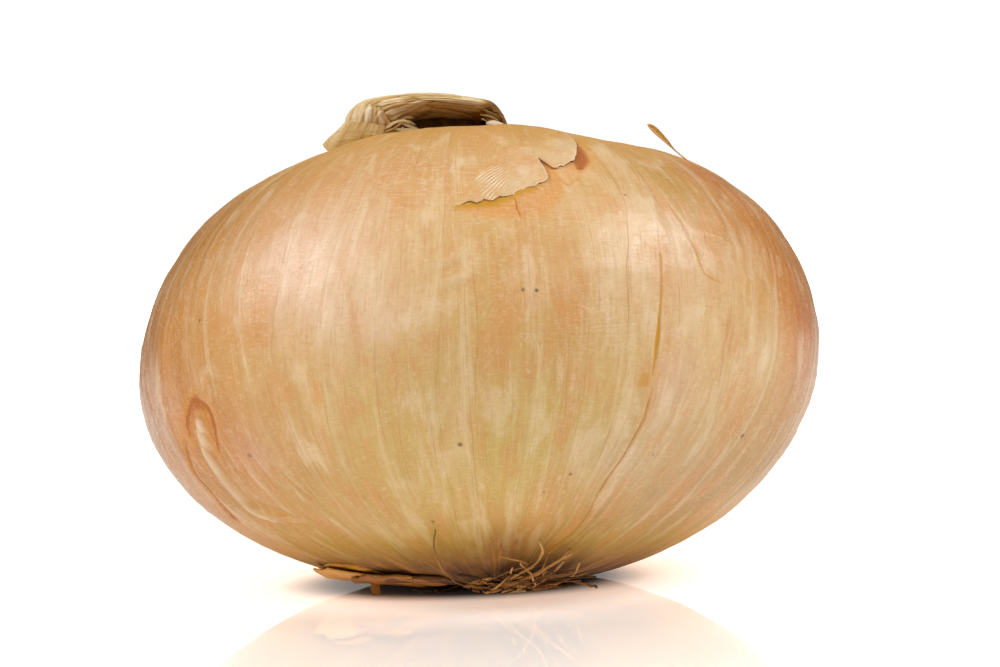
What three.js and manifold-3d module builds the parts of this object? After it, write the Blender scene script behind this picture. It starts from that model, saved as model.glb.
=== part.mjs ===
// A flat sweet onion with its dried neck, roots and loose scraps of skin, lying as it rests.
// Millimetres. +Z is up, the front is -Y and +X is to the right.
// The origin is the middle of the small flat spot that the onion rests on.

import * as THREE from 'three';
import Module from 'manifold-3d';
import { mergeVertices } from 'three/addons/utils/BufferGeometryUtils.js';

// ---------------------------------------------------------------- driving dimensions

const HALF_WIDTH = 45.7; // equator radius along X
const HALF_DEPTH = 44.6; // equator radius along Y
const CROWN_HEIGHT = 30.0; // equator to the neck end
const ROOT_HEIGHT = 30.3; // equator to the root end
const SHOULDER_SHARPNESS = 0.71; // under 1 fills out the shoulder above the equator
const FOOT_SHARPNESS = 0.97; // the same below the equator
const LOPSIDED = 0.045; // share by which one side of the crown is wider
const LOPSIDED_TOWARDS = degrees(65);
const ROOT_END_X = 1.0; // the root end sits off the bulb's axis
const ROOT_END_Y = -5.0;
const LEAN = degrees(9.5); // the neck end leans back, away from the front
const FLAT_DEPTH = 0.9; // how much the resting spot takes off the round underside

const RIB_COUNT = 24; // main veins of the skin, each a low rib from neck to roots
const RIB_HEIGHT = 0.28;
const RIB_HALF_WIDTH = degrees(1.4);
const RIB_SWING = degrees(2.2); // how far a rib strays from its meridian, neck to roots

const NECK_CRATER = { depth: 1.6, floor: 5.4, rim: 9.0 };
const ROOT_HOLLOW = { depth: 2.2, floor: 6.1, rim: 8.6 };

const GAP = 0.3; // clearance that neighbouring pieces keep
const SCRAP_THICKNESS = 0.6; // loose skin
const ROOT_RADIUS = 0.38;
const FLOOR_CLEARANCE = 0.2; // everything but the resting spot stays this far above the floor

// ---------------------------------------------------------------- small helpers

function degrees(angle) {
  return THREE.MathUtils.degToRad(angle);
}

function smoothstep(value, low, high) {
  return THREE.MathUtils.smoothstep(value, low, high);
}

// A repeatable random draw from 0 to 1.
function seededDraw(seed) {
  let state = seed;
  return () => {
    state = (state * 1664525 + 1013904223) % 4294967296;
    return state / 4294967296;
  };
}

// Reads a smooth curve through [x, y] pairs at x; the pairs are in rising order of x.
function readCurve(pairs, x) {
  let k = 1;
  while (k < pairs.length - 1 && pairs[k][0] < x) k += 1;
  const [x0, y0] = pairs[k - 1];
  const [x1, y1] = pairs[k];
  return THREE.MathUtils.lerp(y0, y1, smoothstep(x, x0, x1));
}

// ---------------------------------------------------------------- the bulb's surface

// A point of the bulb before it leans. theta runs from 0 at the neck end to PI at the
// root end, phi is 0 at the front and grows towards +X, and lift is a height over the skin.
function bulbPoint(theta, phi, lift = 0) {
  const c = Math.cos(theta);
  const s = Math.abs(Math.sin(theta));
  const above = c > 0;
  const outline = above ? s ** SHOULDER_SHARPNESS : s ** FOOT_SHARPNESS;
  const girth = outline * (1 + LOPSIDED * c * Math.cos(phi - LOPSIDED_TOWARDS));
  const rootPull = above ? 0 : Math.abs(c) ** 3;
  return new THREE.Vector3(
    (HALF_WIDTH + lift) * girth * Math.sin(phi) + ROOT_END_X * rootPull,
    -(HALF_DEPTH + lift) * girth * Math.cos(phi) + ROOT_END_Y * rootPull,
    (above ? CROWN_HEIGHT : ROOT_HEIGHT) * c + lift * c,
  );
}

// The angle theta at a given distance from the neck end's or the root end's middle.
function thetaAtCrown(distance) {
  return Math.asin((distance / HALF_WIDTH) ** (1 / SHOULDER_SHARPNESS));
}

function thetaAtRoot(distance) {
  return Math.PI - Math.asin((distance / HALF_WIDTH) ** (1 / FOOT_SHARPNESS));
}

const leaning = new THREE.Matrix4().makeRotationX(-LEAN);

// The underside's lowest point once the bulb leans, found by stepping along its midline.
function lowestPoint() {
  let lowest = new THREE.Vector3();
  for (let step = 0; step <= 400; step += 1) {
    for (const phi of [0, Math.PI]) {
      const theta = Math.PI / 2 + (step / 400) * (Math.PI / 2);
      const point = bulbPoint(theta, phi).applyMatrix4(leaning);
      if (point.z < lowest.z) lowest = point;
    }
  }
  return lowest;
}

const foot = lowestPoint();
const standing = new THREE.Matrix4()
  .makeTranslation(0, -foot.y, -foot.z - FLAT_DEPTH)
  .multiply(leaning);

// A point over the skin of the standing onion, and any other point of its leaning frame.
function onSkin(theta, phi, lift = 0) {
  return bulbPoint(theta, phi, lift).applyMatrix4(standing);
}

function inBulb(x, y, z) {
  return new THREE.Vector3(x, y, z).applyMatrix4(standing);
}

// ---------------------------------------------------------------- closed bodies

function meshFrom(points, faces) {
  const geometry = new THREE.BufferGeometry();
  geometry.setAttribute('position', new THREE.Float32BufferAttribute(
    points.flatMap((point) => [point.x, point.y, point.z]), 3));
  geometry.setIndex(faces.flat());
  return faceOutward(geometry);
}

function signedVolume(geometry) {
  const position = geometry.getAttribute('position');
  const index = geometry.getIndex();
  const [a, b, c] = [new THREE.Vector3(), new THREE.Vector3(), new THREE.Vector3()];
  let volume = 0;
  for (let k = 0; k < index.count; k += 3) {
    a.fromBufferAttribute(position, index.getX(k));
    b.fromBufferAttribute(position, index.getX(k + 1));
    c.fromBufferAttribute(position, index.getX(k + 2));
    volume += a.dot(b.cross(c)) / 6;
  }
  return volume;
}

function faceOutward(geometry) {
  if (signedVolume(geometry) < 0) {
    geometry.setIndex(Array.from(geometry.getIndex().array).reverse());
  }
  return geometry;
}

// A closed body through rings of equally many points, with a point to close each end.
function loft(start, rings, end) {
  const count = rings[0].length;
  const points = [start, ...rings.flat(), end];
  const last = points.length - 1;
  const at = (ring, k) => 1 + ring * count + (k % count);
  const faces = [];
  for (let k = 0; k < count; k += 1) {
    faces.push([0, at(0, k + 1), at(0, k)]);
    for (let ring = 0; ring < rings.length - 1; ring += 1) {
      faces.push([at(ring, k), at(ring, k + 1), at(ring + 1, k + 1)]);
      faces.push([at(ring, k), at(ring + 1, k + 1), at(ring + 1, k)]);
    }
    faces.push([last, at(rings.length - 1, k), at(rings.length - 1, k + 1)]);
  }
  return meshFrom(points, faces);
}

// A closed slab between two grids of points, pointAt(u, v, side) with side 0 or 1.
function slab(across, along, pointAt) {
  const points = [];
  for (const side of [0, 1]) {
    for (let i = 0; i <= across; i += 1) {
      for (let j = 0; j <= along; j += 1) points.push(pointAt(i / across, j / along, side));
    }
  }
  const at = (side, i, j) => side * (across + 1) * (along + 1) + i * (along + 1) + j;
  const faces = [];
  const quad = (a, b, c, d) => faces.push([a, b, c], [a, c, d]);
  for (let i = 0; i < across; i += 1) {
    for (let j = 0; j < along; j += 1) {
      quad(at(0, i, j), at(0, i, j + 1), at(0, i + 1, j + 1), at(0, i + 1, j));
      quad(at(1, i, j), at(1, i + 1, j), at(1, i + 1, j + 1), at(1, i, j + 1));
    }
    quad(at(0, i, 0), at(0, i + 1, 0), at(1, i + 1, 0), at(1, i, 0));
    quad(at(0, i + 1, along), at(0, i, along), at(1, i, along), at(1, i + 1, along));
  }
  for (let j = 0; j < along; j += 1) {
    quad(at(0, 0, j + 1), at(0, 0, j), at(1, 0, j), at(1, 0, j + 1));
    quad(at(0, across, j), at(0, across, j + 1), at(1, across, j + 1), at(1, across, j));
  }
  return meshFrom(points, faces);
}

// A round or flattened strand along a path; sizeAt(t) gives its half sizes sideways and out.
function strand(path, sides, steps, outward, sizeAt) {
  const rings = [];
  for (let step = 0; step <= steps; step += 1) {
    const t = step / steps;
    const centre = path.getPoint(t);
    const ahead = path.getTangent(t);
    const side = new THREE.Vector3().crossVectors(ahead, outward(t)).normalize();
    const out = new THREE.Vector3().crossVectors(side, ahead);
    const [halfSide, halfOut] = sizeAt(t);
    rings.push(Array.from({ length: sides }, (_, k) => {
      const angle = (2 * Math.PI * k) / sides;
      return centre.clone()
        .addScaledVector(side, halfSide * Math.cos(angle))
        .addScaledVector(out, halfOut * Math.sin(angle));
    }));
  }
  return loft(path.getPoint(0), rings, path.getPoint(1));
}

// ---------------------------------------------------------------- joining and cutting

const wasm = await Module();
wasm.setup();

function solidFrom(geometry) {
  const plain = geometry.clone();
  plain.deleteAttribute('normal');
  plain.deleteAttribute('uv');
  const merged = mergeVertices(plain, 1e-5);
  return new wasm.Manifold(new wasm.Mesh({
    numProp: 3,
    vertProperties: new Float32Array(merged.getAttribute('position').array),
    triVerts: new Uint32Array(merged.getIndex().array),
  }));
}

function geometryFrom(solid) {
  const mesh = solid.getMesh();
  const geometry = new THREE.BufferGeometry();
  geometry.setAttribute('position', new THREE.BufferAttribute(mesh.vertProperties, 3));
  geometry.setIndex(new THREE.BufferAttribute(mesh.triVerts, 1));
  return geometry;
}

// ---------------------------------------------------------------- bulb

// The neck crater and the root hollow: full depth inside floor, none outside rim.
function dishDepth(dish, distance) {
  return dish.depth * (1 - smoothstep(distance, dish.floor, dish.rim));
}

function dishAt(theta) {
  const s = Math.sin(theta);
  if (theta < Math.PI / 2) return dishDepth(NECK_CRATER, HALF_WIDTH * s ** SHOULDER_SHARPNESS);
  return dishDepth(ROOT_HOLLOW, HALF_WIDTH * s ** FOOT_SHARPNESS);
}

// Five columns to each rib: its ridge, a flank on either side, and the shallow valley's ends.
function ribColumns() {
  const spacing = (2 * Math.PI) / RIB_COUNT;
  const columns = [];
  for (let rib = 0; rib < RIB_COUNT; rib += 1) {
    const ridge = (rib + 0.5) * spacing;
    columns.push({ phi: ridge - RIB_HALF_WIDTH, rise: 0 });
    columns.push({ phi: ridge, rise: RIB_HEIGHT });
    columns.push({ phi: ridge + RIB_HALF_WIDTH, rise: 0 });
    columns.push({ phi: ridge + spacing * 0.36, rise: 0.05 });
    columns.push({ phi: ridge + spacing * 0.64, rise: 0.05 });
  }
  return columns;
}

// Rings close together in the dished ends and further apart over the round side.
function ringAngles() {
  const crown = [3, NECK_CRATER.floor, 7.2, NECK_CRATER.rim, 12].map(thetaAtCrown);
  const root = [3, ROOT_HOLLOW.floor, 7.4, ROOT_HOLLOW.rim, 11.5].map(thetaAtRoot).reverse();
  const first = crown[crown.length - 1];
  const last = root[0];
  const between = 20;
  const middle = Array.from({ length: between }, (_, k) => (
    THREE.MathUtils.lerp(first, last, (k + 1) / (between + 1))));
  return [...crown, ...middle, ...root];
}

function bulbBody() {
  const columns = ribColumns();
  const rings = ringAngles().map((theta) => columns.map(({ phi, rise }) => {
    const swing = RIB_SWING * Math.cos(theta) * Math.sin(theta);
    return onSkin(theta, phi + swing, rise * Math.sin(theta) - dishAt(theta));
  }));
  return loft(onSkin(0, 0, -NECK_CRATER.depth), rings, onSkin(Math.PI, 0, -ROOT_HOLLOW.depth));
}

// The split down the right of the front, a fine open crack that ends near the roots.
const SPLIT_ROUTE = [[64, 32], [75, 30.2], [89, 28.8], [105, 28.5], [120, 26.8], [141, 24.2]];
const SPLIT_HALF_WIDTH = 0.32;
const SPLIT_DEPTH = 0.55;

// The healed scar low on the left: a raised rib with a groove along its outer side.
const SCAR_ROUTE = [[103, -51.5], [111.5, -52.2], [122, -54], [131, -53.8], [135, -48]];
const SCAR_GROOVE_ROUTE = [[108, -57.5], [112, -62.5], [121, -67], [130, -67.5], [134, -62]];

// A route over the skin, from [theta, phi] pairs in degrees.
function skinRoute(pairs, lift = 0) {
  return new THREE.CatmullRomCurve3(
    pairs.map(([theta, phi]) => onSkin(degrees(theta), degrees(phi), lift)));
}

// The way out of the skin beside a route, near enough for a narrow strand.
const bulbMiddle = inBulb(0, 0, 0);

function awayFromMiddle(path) {
  return (t) => path.getPoint(t).sub(bulbMiddle);
}

// Full size along most of a strand, tapering to a tenth at both ends.
function taper(t) {
  return Math.max(0.1, Math.min(1, 6 * t, 6 * (1 - t)));
}

function skinStrand(pairs, halfWidth, halfHeight) {
  const path = skinRoute(pairs);
  return strand(path, 6, 16, awayFromMiddle(path), (t) => [
    halfWidth * taper(t),
    halfHeight * taper(t),
  ]);
}

function bulb() {
  const room = 200;
  const aboveFloor = new THREE.BoxGeometry(room, room, room).translate(0, 0, room / 2);
  const solid = solidFrom(bulbBody())
    .add(solidFrom(skinStrand(SCAR_ROUTE, 0.85, 0.6)))
    .subtract(solidFrom(skinStrand(SCAR_GROOVE_ROUTE, 0.6, 0.35)))
    .subtract(solidFrom(skinStrand(SPLIT_ROUTE, SPLIT_HALF_WIDTH, SPLIT_DEPTH)))
    .intersect(solidFrom(aboveFloor));
  return geometryFrom(solid);
}

// ---------------------------------------------------------------- neck

// The dried neck leaves its stump at the right, arches over to the left and hangs to the
// shoulder. Each station has the under edge and the outer edge of the fold, as [x, z] from
// the bulb's axis and crown, and its middle and half size from front to back.
const NECK_FOLD = [
  { under: [1.6, -0.8], outer: [4.6, -0.8], y: -0.5, halfDepth: 3.0 },
  { under: [2.2, 1.2], outer: [5.0, 1.4], y: -1.5, halfDepth: 3.4 },
  { under: [2.6, 2.4], outer: [4.6, 3.1], y: -2.5, halfDepth: 3.8 },
  { under: [1.9, 2.9], outer: [3.3, 4.9], y: -3.2, halfDepth: 4.2 },
  { under: [0.2, 3.2], outer: [1.3, 5.7], y: -3.6, halfDepth: 4.5 },
  { under: [-3.9, 3.6], outer: [-4.0, 6.5], y: -4.0, halfDepth: 4.7 },
  { under: [-7.2, 3.4], outer: [-8.8, 6.8], y: -4.2, halfDepth: 4.7 },
  { under: [-8.6, 2.9], outer: [-12.4, 6.6], y: -4.6, halfDepth: 4.6 },
  { under: [-9.2, 2.3], outer: [-15.0, 5.8], y: -5.0, halfDepth: 4.3 },
  { under: [-9.5, 1.7], outer: [-16.9, 4.1], y: -5.4, halfDepth: 3.6 },
  { under: [-9.8, 1.1], outer: [-18.3, 2.1], y: -5.8, halfDepth: 2.7 },
  { under: [-10.4, 0.3], outer: [-19.9, 0.0], y: -6.0, halfDepth: 3.3 },
];
// The stump under the fold, from the crater up: middle, half width and half depth.
const NECK_STUMP = [
  { x: -0.3, y: 0.2, z: -1.2, halfWidth: 4.2, halfDepth: 4.1 },
  { x: -1.6, y: 1.0, z: 0.6, halfWidth: 4.8, halfDepth: 3.8 },
  { x: -3.3, y: 1.4, z: 2.2, halfWidth: 5.9, halfDepth: 3.2 },
  { x: -3.6, y: 1.2, z: 4.0, halfWidth: 5.2, halfDepth: 2.6 },
  { x: -3.4, y: 0.2, z: 5.2, halfWidth: 3.4, halfDepth: 1.6 },
];
const NECK_PLEATS = 9; // lengthwise folds of the dried sheath
const NECK_PLEAT_DEPTH = 0.07; // share of the half size
const NECK_SIDES = 36; // four points to a pleat
const NECK_MOUTH_DEPTH = 2.2; // the cut end is a hollow lip

// A pleated ring round a middle, from two half-size vectors.
function pleatedRing(middle, halfAcross, halfAlong) {
  return Array.from({ length: NECK_SIDES }, (_, k) => {
    const angle = (2 * Math.PI * k) / NECK_SIDES;
    const pleat = 1 + NECK_PLEAT_DEPTH * Math.cos(NECK_PLEATS * angle);
    return middle.clone()
      .addScaledVector(halfAcross, pleat * Math.cos(angle))
      .addScaledVector(halfAlong, pleat * Math.sin(angle));
  });
}

const depthways = new THREE.Vector3(0, 1, 0).transformDirection(leaning);

function neckFold() {
  const stations = NECK_FOLD.map(({ under, outer, y, halfDepth }) => {
    const inner = inBulb(under[0], y, CROWN_HEIGHT + under[1]);
    const far = inBulb(outer[0], y, CROWN_HEIGHT + outer[1]);
    return {
      middle: inner.clone().add(far).multiplyScalar(0.5),
      halfAcross: far.clone().sub(inner).multiplyScalar(0.5),
      halfAlong: depthways.clone().multiplyScalar(halfDepth),
    };
  });
  const rings = stations.map((s) => pleatedRing(s.middle, s.halfAcross, s.halfAlong));
  const lip = stations[stations.length - 1];
  const inward = stations[stations.length - 3].middle.clone().sub(lip.middle).normalize();
  const mouthRing = (share, depth) => pleatedRing(
    lip.middle.clone().addScaledVector(inward, depth),
    lip.halfAcross.clone().multiplyScalar(share),
    lip.halfAlong.clone().multiplyScalar(share),
  );
  rings.push(mouthRing(0.86, 0.05), mouthRing(0.55, NECK_MOUTH_DEPTH * 0.8));
  const mouthFloor = lip.middle.clone().addScaledVector(inward, NECK_MOUTH_DEPTH);
  return loft(stations[0].middle, rings, mouthFloor);
}

function neckStump() {
  const widthways = new THREE.Vector3(1, 0, 0);
  const middles = NECK_STUMP.map(({ x, y, z }) => inBulb(x, y, CROWN_HEIGHT + z));
  const rings = NECK_STUMP.map(({ halfWidth, halfDepth }, k) => pleatedRing(
    middles[k],
    widthways.clone().multiplyScalar(halfWidth),
    depthways.clone().multiplyScalar(halfDepth),
  ));
  return loft(middles[0], rings, middles[middles.length - 1]);
}

function neck() {
  return geometryFrom(solidFrom(neckStump()).add(solidFrom(neckFold())));
}

// ---------------------------------------------------------------- root tuft

const PLATE_RADIUS = 5.2; // the corky disc that the roots grow from
const PLATE_THICKNESS = 1.1;
const FRONT_ROOTS = 17;
const FRONT_ROOT_SPREAD = degrees(34); // either side of the middle of the fan
const FRONT_ROOT_MIDDLE = degrees(8);
const STUB_ROOTS = 9; // short roots round the rest of the disc
const ROOT_SIDES = 5;
const ROOT_LIFT = 1.05; // middle of a root to the skin that it runs along
const STRAY_ROOT = { phi: degrees(-20), reach: 30, sway: degrees(9), rise: 0.3 };

function rootPlate() {
  const top = -ROOT_HEIGHT + ROOT_HOLLOW.depth - GAP;
  const ringAt = (radius, z) => Array.from({ length: 18 }, (_, k) => {
    const angle = (2 * Math.PI * k) / 18;
    return inBulb(ROOT_END_X + radius * Math.cos(angle), ROOT_END_Y + radius * Math.sin(angle), z);
  });
  const rings = [
    ringAt(PLATE_RADIUS * 0.94, top),
    ringAt(PLATE_RADIUS, top - PLATE_THICKNESS * 0.5),
    ringAt(PLATE_RADIUS * 0.8, top - PLATE_THICKNESS),
  ];
  const start = inBulb(ROOT_END_X, ROOT_END_Y, top);
  const end = inBulb(ROOT_END_X, ROOT_END_Y, top - PLATE_THICKNESS);
  return loft(start, rings, end);
}

// Keeps a strand's middle line clear of the floor.
function overFloor(point) {
  point.z = Math.max(point.z, FLOOR_CLEARANCE + ROOT_RADIUS);
  return point;
}

// A root that starts sunk in the disc, runs outward close under the skin and curls up in
// front of it. reach is how far it gets from the root end's middle, sway how far it turns
// to the side on the way, and rise how far its tip stands off the skin.
function frontRoot(phi, reach, sway, rise) {
  const start = inBulb(
    ROOT_END_X + 3.4 * Math.sin(phi),
    ROOT_END_Y - 3.4 * Math.cos(phi),
    -ROOT_HEIGHT + ROOT_HOLLOW.depth - GAP - PLATE_THICKNESS * 0.6,
  );
  const outward = [0, 0.25, 0.5, 0.75, 1].map((share) => overFloor(onSkin(
    thetaAtRoot(THREE.MathUtils.lerp(ROOT_HOLLOW.floor + 1, reach, share)),
    phi + sway * share ** 2,
    ROOT_LIFT + rise * share ** 2,
  )));
  const path = new THREE.CatmullRomCurve3([start, ...outward], false, 'centripetal');
  return strand(path, ROOT_SIDES, 8, awayFromMiddle(path), (t) => {
    const radius = ROOT_RADIUS * (1 - 0.4 * t);
    return [radius, radius];
  });
}

// A short root that leaves the disc's underside and ends just over the floor.
function stubRoot(phi) {
  const along = [3.0, 4.4, 5.4].map((distance, k) => overFloor(inBulb(
    ROOT_END_X + distance * Math.sin(phi),
    ROOT_END_Y - distance * Math.cos(phi),
    -ROOT_HEIGHT + ROOT_HOLLOW.depth - GAP - PLATE_THICKNESS * (0.5 + 0.3 * k),
  )));
  const path = new THREE.CatmullRomCurve3(along, false, 'centripetal');
  return strand(path, ROOT_SIDES, 3, awayFromMiddle(path), () => [ROOT_RADIUS, ROOT_RADIUS]);
}

function rootTuft() {
  const draw = seededDraw(7);
  let solid = solidFrom(rootPlate());
  for (let k = 0; k < FRONT_ROOTS; k += 1) {
    const side = (2 * (k + 0.2 + 0.6 * draw())) / FRONT_ROOTS - 1;
    const phi = FRONT_ROOT_MIDDLE + FRONT_ROOT_SPREAD * side;
    const reach = (17 + 10 * draw()) * (1 - 0.25 * Math.abs(side));
    const sway = degrees(-15 + 45 * draw());
    const rise = 0.3 + 2.6 * draw() ** 2;
    solid = solid.add(solidFrom(frontRoot(phi, reach, sway, rise)));
  }
  const { phi: strayPhi, reach: strayReach, sway: straySway, rise: strayRise } = STRAY_ROOT;
  solid = solid.add(solidFrom(frontRoot(strayPhi, strayReach, straySway, strayRise)));
  for (let k = 0; k < STUB_ROOTS; k += 1) {
    const phi = degrees(75) + (degrees(210) * (k + 0.5)) / STUB_ROOTS;
    solid = solid.add(solidFrom(stubRoot(phi)));
  }
  return geometryFrom(solid);
}

// ---------------------------------------------------------------- loose scraps of skin

// The papery flake on the front shoulder. It starts at the crown's edge and ends in a torn edge
// of two lobes, given as [phi, theta] in degrees from left to right.
const FLAKE_TORN_EDGE = [
  [-3, 58.6], [2, 58.4], [6.5, 56.6], [9, 55.4], [12, 54.2], [14.5, 50.8], [17, 45],
  [19.5, 46], [22, 43.5], [27, 37], [32, 31.5],
];
const FLAKE_TOP = { theta: 26, left: 7.5, right: 33 };

function skinFlake() {
  return slab(14, 4, (u, v, side) => {
    const edge = THREE.MathUtils.lerp(-3, 32, u);
    const top = THREE.MathUtils.lerp(FLAKE_TOP.left, FLAKE_TOP.right, u);
    const phi = degrees(THREE.MathUtils.lerp(top, edge, v));
    const torn = readCurve(FLAKE_TORN_EDGE, edge);
    const theta = degrees(THREE.MathUtils.lerp(FLAKE_TOP.theta, torn, v));
    const ribs = RIB_HEIGHT * Math.sin(theta);
    return onSkin(theta, phi, GAP + ribs + side * SCRAP_THICKNESS);
  });
}

// The sliver of skin that stands up off the right shoulder.
const CURL_BASE = { theta: degrees(34), phi: degrees(57.5) };
const CURL_TIP_OFFSET = new THREE.Vector3(-3.3, -0.4, 3.5);

function skinCurl() {
  const base = onSkin(CURL_BASE.theta, CURL_BASE.phi, GAP + SCRAP_THICKNESS);
  const foothold = onSkin(
    CURL_BASE.theta + degrees(2.5), CURL_BASE.phi, GAP + SCRAP_THICKNESS * 0.6);
  const bend = base.clone().addScaledVector(CURL_TIP_OFFSET, 0.45);
  bend.z += 0.25;
  const tip = base.clone().add(CURL_TIP_OFFSET);
  const path = new THREE.CatmullRomCurve3([foothold, base, bend, tip]);
  return strand(path, 8, 10, awayFromMiddle(path), (t) => [
    0.35 + 0.3 * Math.sin(Math.PI * t ** 1.4),
    SCRAP_THICKNESS / 2,
  ]);
}

// The tongue of old skin that hangs off the underside at the left, just over the floor.
const FLAP_INNER = 13.5; // distances from the root end's middle
const FLAP_OUTER = 23.5;
const FLAP_SIDES = { front: degrees(-62), back: degrees(-88) };
const FLAP_DROOP = 1.5; // how far the tip hangs off the skin

function baseSkinFlap() {
  return slab(10, 8, (u, v, side) => {
    const narrowing = 0.5 - 0.32 * v ** 2;
    const middle = THREE.MathUtils.lerp(0.5, 0.75, v);
    const across = THREE.MathUtils.clamp(middle + (2 * u - 1) * narrowing, 0, 1);
    const phi = THREE.MathUtils.lerp(FLAP_SIDES.front, FLAP_SIDES.back, across);
    const reach = FLAP_OUTER - 2.2 * (2 * u - 1) ** 2;
    const distance = THREE.MathUtils.lerp(FLAP_INNER, reach, v);
    const lift = GAP + 0.12 + FLAP_DROOP * v ** 2 + side * SCRAP_THICKNESS;
    return onSkin(thetaAtRoot(distance), phi, lift);
  });
}

// ---------------------------------------------------------------- the onion

function piece(name, geometry, color, roughness) {
  const material = new THREE.MeshStandardMaterial({ color, roughness, metalness: 0 });
  const mesh = new THREE.Mesh(geometry, material);
  mesh.name = name;
  return mesh;
}

const onion = new THREE.Group();
onion.name = 'onion';
onion.add(piece('bulb', bulb(), 0xd2a468, 0.38));
onion.add(piece('neck', neck(), 0xc9a878, 0.75));
onion.add(piece('root_tuft', rootTuft(), 0x8a6a42, 0.85));
onion.add(piece('skin_flake', skinFlake(), 0xdcb98c, 0.7));
onion.add(piece('skin_curl', skinCurl(), 0xc47f38, 0.55));
onion.add(piece('base_skin_flap', baseSkinFlap(), 0xb5722c, 0.6));

export default onion;
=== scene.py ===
"""The looks of a flat sweet onion, lying on its root end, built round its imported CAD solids.

Shapes are worked out in millimetres in the row frame (+Z up, the front is -Y, +X to the right)
and become metres when a mesh is made. Angles on the bulb: theta runs from 0 at the neck end to
180 at the root end, phi is 0 at the front and grows towards +X.
"""

import math

import bpy
import numpy as np
from mathutils import Matrix, Vector


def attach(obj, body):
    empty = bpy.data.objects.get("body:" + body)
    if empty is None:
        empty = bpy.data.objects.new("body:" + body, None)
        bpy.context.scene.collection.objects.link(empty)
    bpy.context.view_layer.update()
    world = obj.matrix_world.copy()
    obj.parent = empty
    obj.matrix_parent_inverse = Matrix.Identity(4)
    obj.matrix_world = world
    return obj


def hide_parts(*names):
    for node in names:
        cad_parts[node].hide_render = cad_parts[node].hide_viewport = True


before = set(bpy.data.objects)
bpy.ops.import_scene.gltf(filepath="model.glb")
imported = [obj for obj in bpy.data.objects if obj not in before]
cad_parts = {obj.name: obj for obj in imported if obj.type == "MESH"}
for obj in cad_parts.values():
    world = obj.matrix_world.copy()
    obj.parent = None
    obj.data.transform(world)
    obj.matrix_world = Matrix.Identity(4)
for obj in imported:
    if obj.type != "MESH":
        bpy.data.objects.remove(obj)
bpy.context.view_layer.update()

# ------------------------------------------------------------------ sizes shared with the CAD

HALF_WIDTH, HALF_DEPTH = 45.7, 44.6
CROWN_HEIGHT, ROOT_HEIGHT = 30.0, 30.3
SHOULDER_SHARPNESS, FOOT_SHARPNESS = 0.71, 0.97
LOPSIDED, LOPSIDED_TOWARDS = 0.045, math.radians(65)
ROOT_END_X, ROOT_END_Y = 1.0, -5.0
LEAN = math.radians(9.5)
BULB_MIDDLE = np.array([0.0, -3.02, 29.245])  # the leaning frame's origin in the row frame
CRATER_DEPTH, CRATER_FLOOR, CRATER_RIM = 1.6, 5.4, 9.0
HOLLOW_DEPTH, HOLLOW_FLOOR, HOLLOW_RIM = 2.2, 6.1, 8.6
MM = 0.001
FAR = 1e9  # further than anything, in millimetres
TINY = 1e-12

# ------------------------------------------------------------------ numbers and noise


def smooth(value, low, high):
    """0 below low, 1 above high and an easy curve between; high may be the smaller."""
    share = np.clip((value - low) / (high - low), 0, 1)
    return share * share * (3 - 2 * share)


def hump(value, width, middle=0.0, power=2):
    """1 where the value is at the middle, falling to 0 on both sides of it."""
    return np.exp(-(((value - middle) / width) ** power))


def lattice(ix, iy, iz, seed):
    """A repeatable number from -1 to 1 for each whole-numbered place."""
    mixed = ix * 374761393 + iy * 668265263 + iz * 1440662683 + seed * 974634777
    mixed = (mixed ^ (mixed >> 13)) & 0xFFFFFFFF
    mixed = (mixed * 1274126177) & 0xFFFFFFFF
    return ((mixed ^ (mixed >> 16)) & 0xFFFF) / 32767.5 - 1


def noise(points, seed):
    """Smooth value noise from -1 to 1 at points of shape (..., 3)."""
    cell = np.floor(points).astype(np.int64)
    part = points - cell
    part = part * part * (3 - 2 * part)
    shares = (1 - part, part)
    total = 0
    for dx, dy, dz in np.ndindex(2, 2, 2):
        weight = shares[dx][..., 0] * shares[dy][..., 1] * shares[dz][..., 2]
        corner = lattice(cell[..., 0] + dx, cell[..., 1] + dy, cell[..., 2] + dz, seed)
        total = total + weight * corner
    return total


def stack(*parts):
    return np.stack(np.broadcast_arrays(*[np.asarray(p, float) for p in parts]), -1)


def on_cylinder(angle, radius, height):
    return stack(radius * np.cos(angle), radius * np.sin(angle), height)


def unit(vectors):
    return vectors / np.maximum(np.linalg.norm(vectors, axis=-1, keepdims=True), TINY)


def curve_through(points, count):
    """count points spaced along a Catmull-Rom curve through the given points."""
    points = np.asarray(points, float)
    padded = np.vstack([2 * points[0] - points[1], points, 2 * points[-1] - points[-2]])
    where = np.linspace(0, len(points) - 1, count)
    k = np.minimum(where.astype(int), len(points) - 2)
    t = (where - k)[:, None]
    a, b, c, d = (padded[k + j] for j in range(4))
    return 0.5 * (
        2 * b + (c - a) * t + (2 * a - 5 * b + 4 * c - d) * t**2 + (3 * b - a - 3 * c + d) * t**3
    )


def length_along(points):
    """How far along a polyline each of its points lies."""
    return np.concatenate([[0], np.cumsum(np.linalg.norm(np.diff(points, axis=0), axis=1))])


def distance_to_path(points, path):
    """Distance of each point to a polyline, how far along it that is from 0 to 1, and the distance
    once more, counted negative on the polyline's right side over the bulb."""
    best = np.full(len(points), FAR)
    signed = best.copy()
    along = np.zeros(len(points))
    last = len(path) - 1
    for k in range(last):
        a, d = path[k], path[k + 1] - path[k]
        t = np.clip(((points - a) @ d) / max(d @ d, TINY), 0, 1)
        off = points - a - t[:, None] * d
        gap = np.linalg.norm(off, axis=1)
        near = gap < best
        side = np.sign((np.cross(d, off[near]) * (points[near] - BULB_MIDDLE)).sum(1))
        best[near] = gap[near]
        signed[near] = side * gap[near]
        along[near] = (k + t[near]) / last
    return best, along, signed


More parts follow.
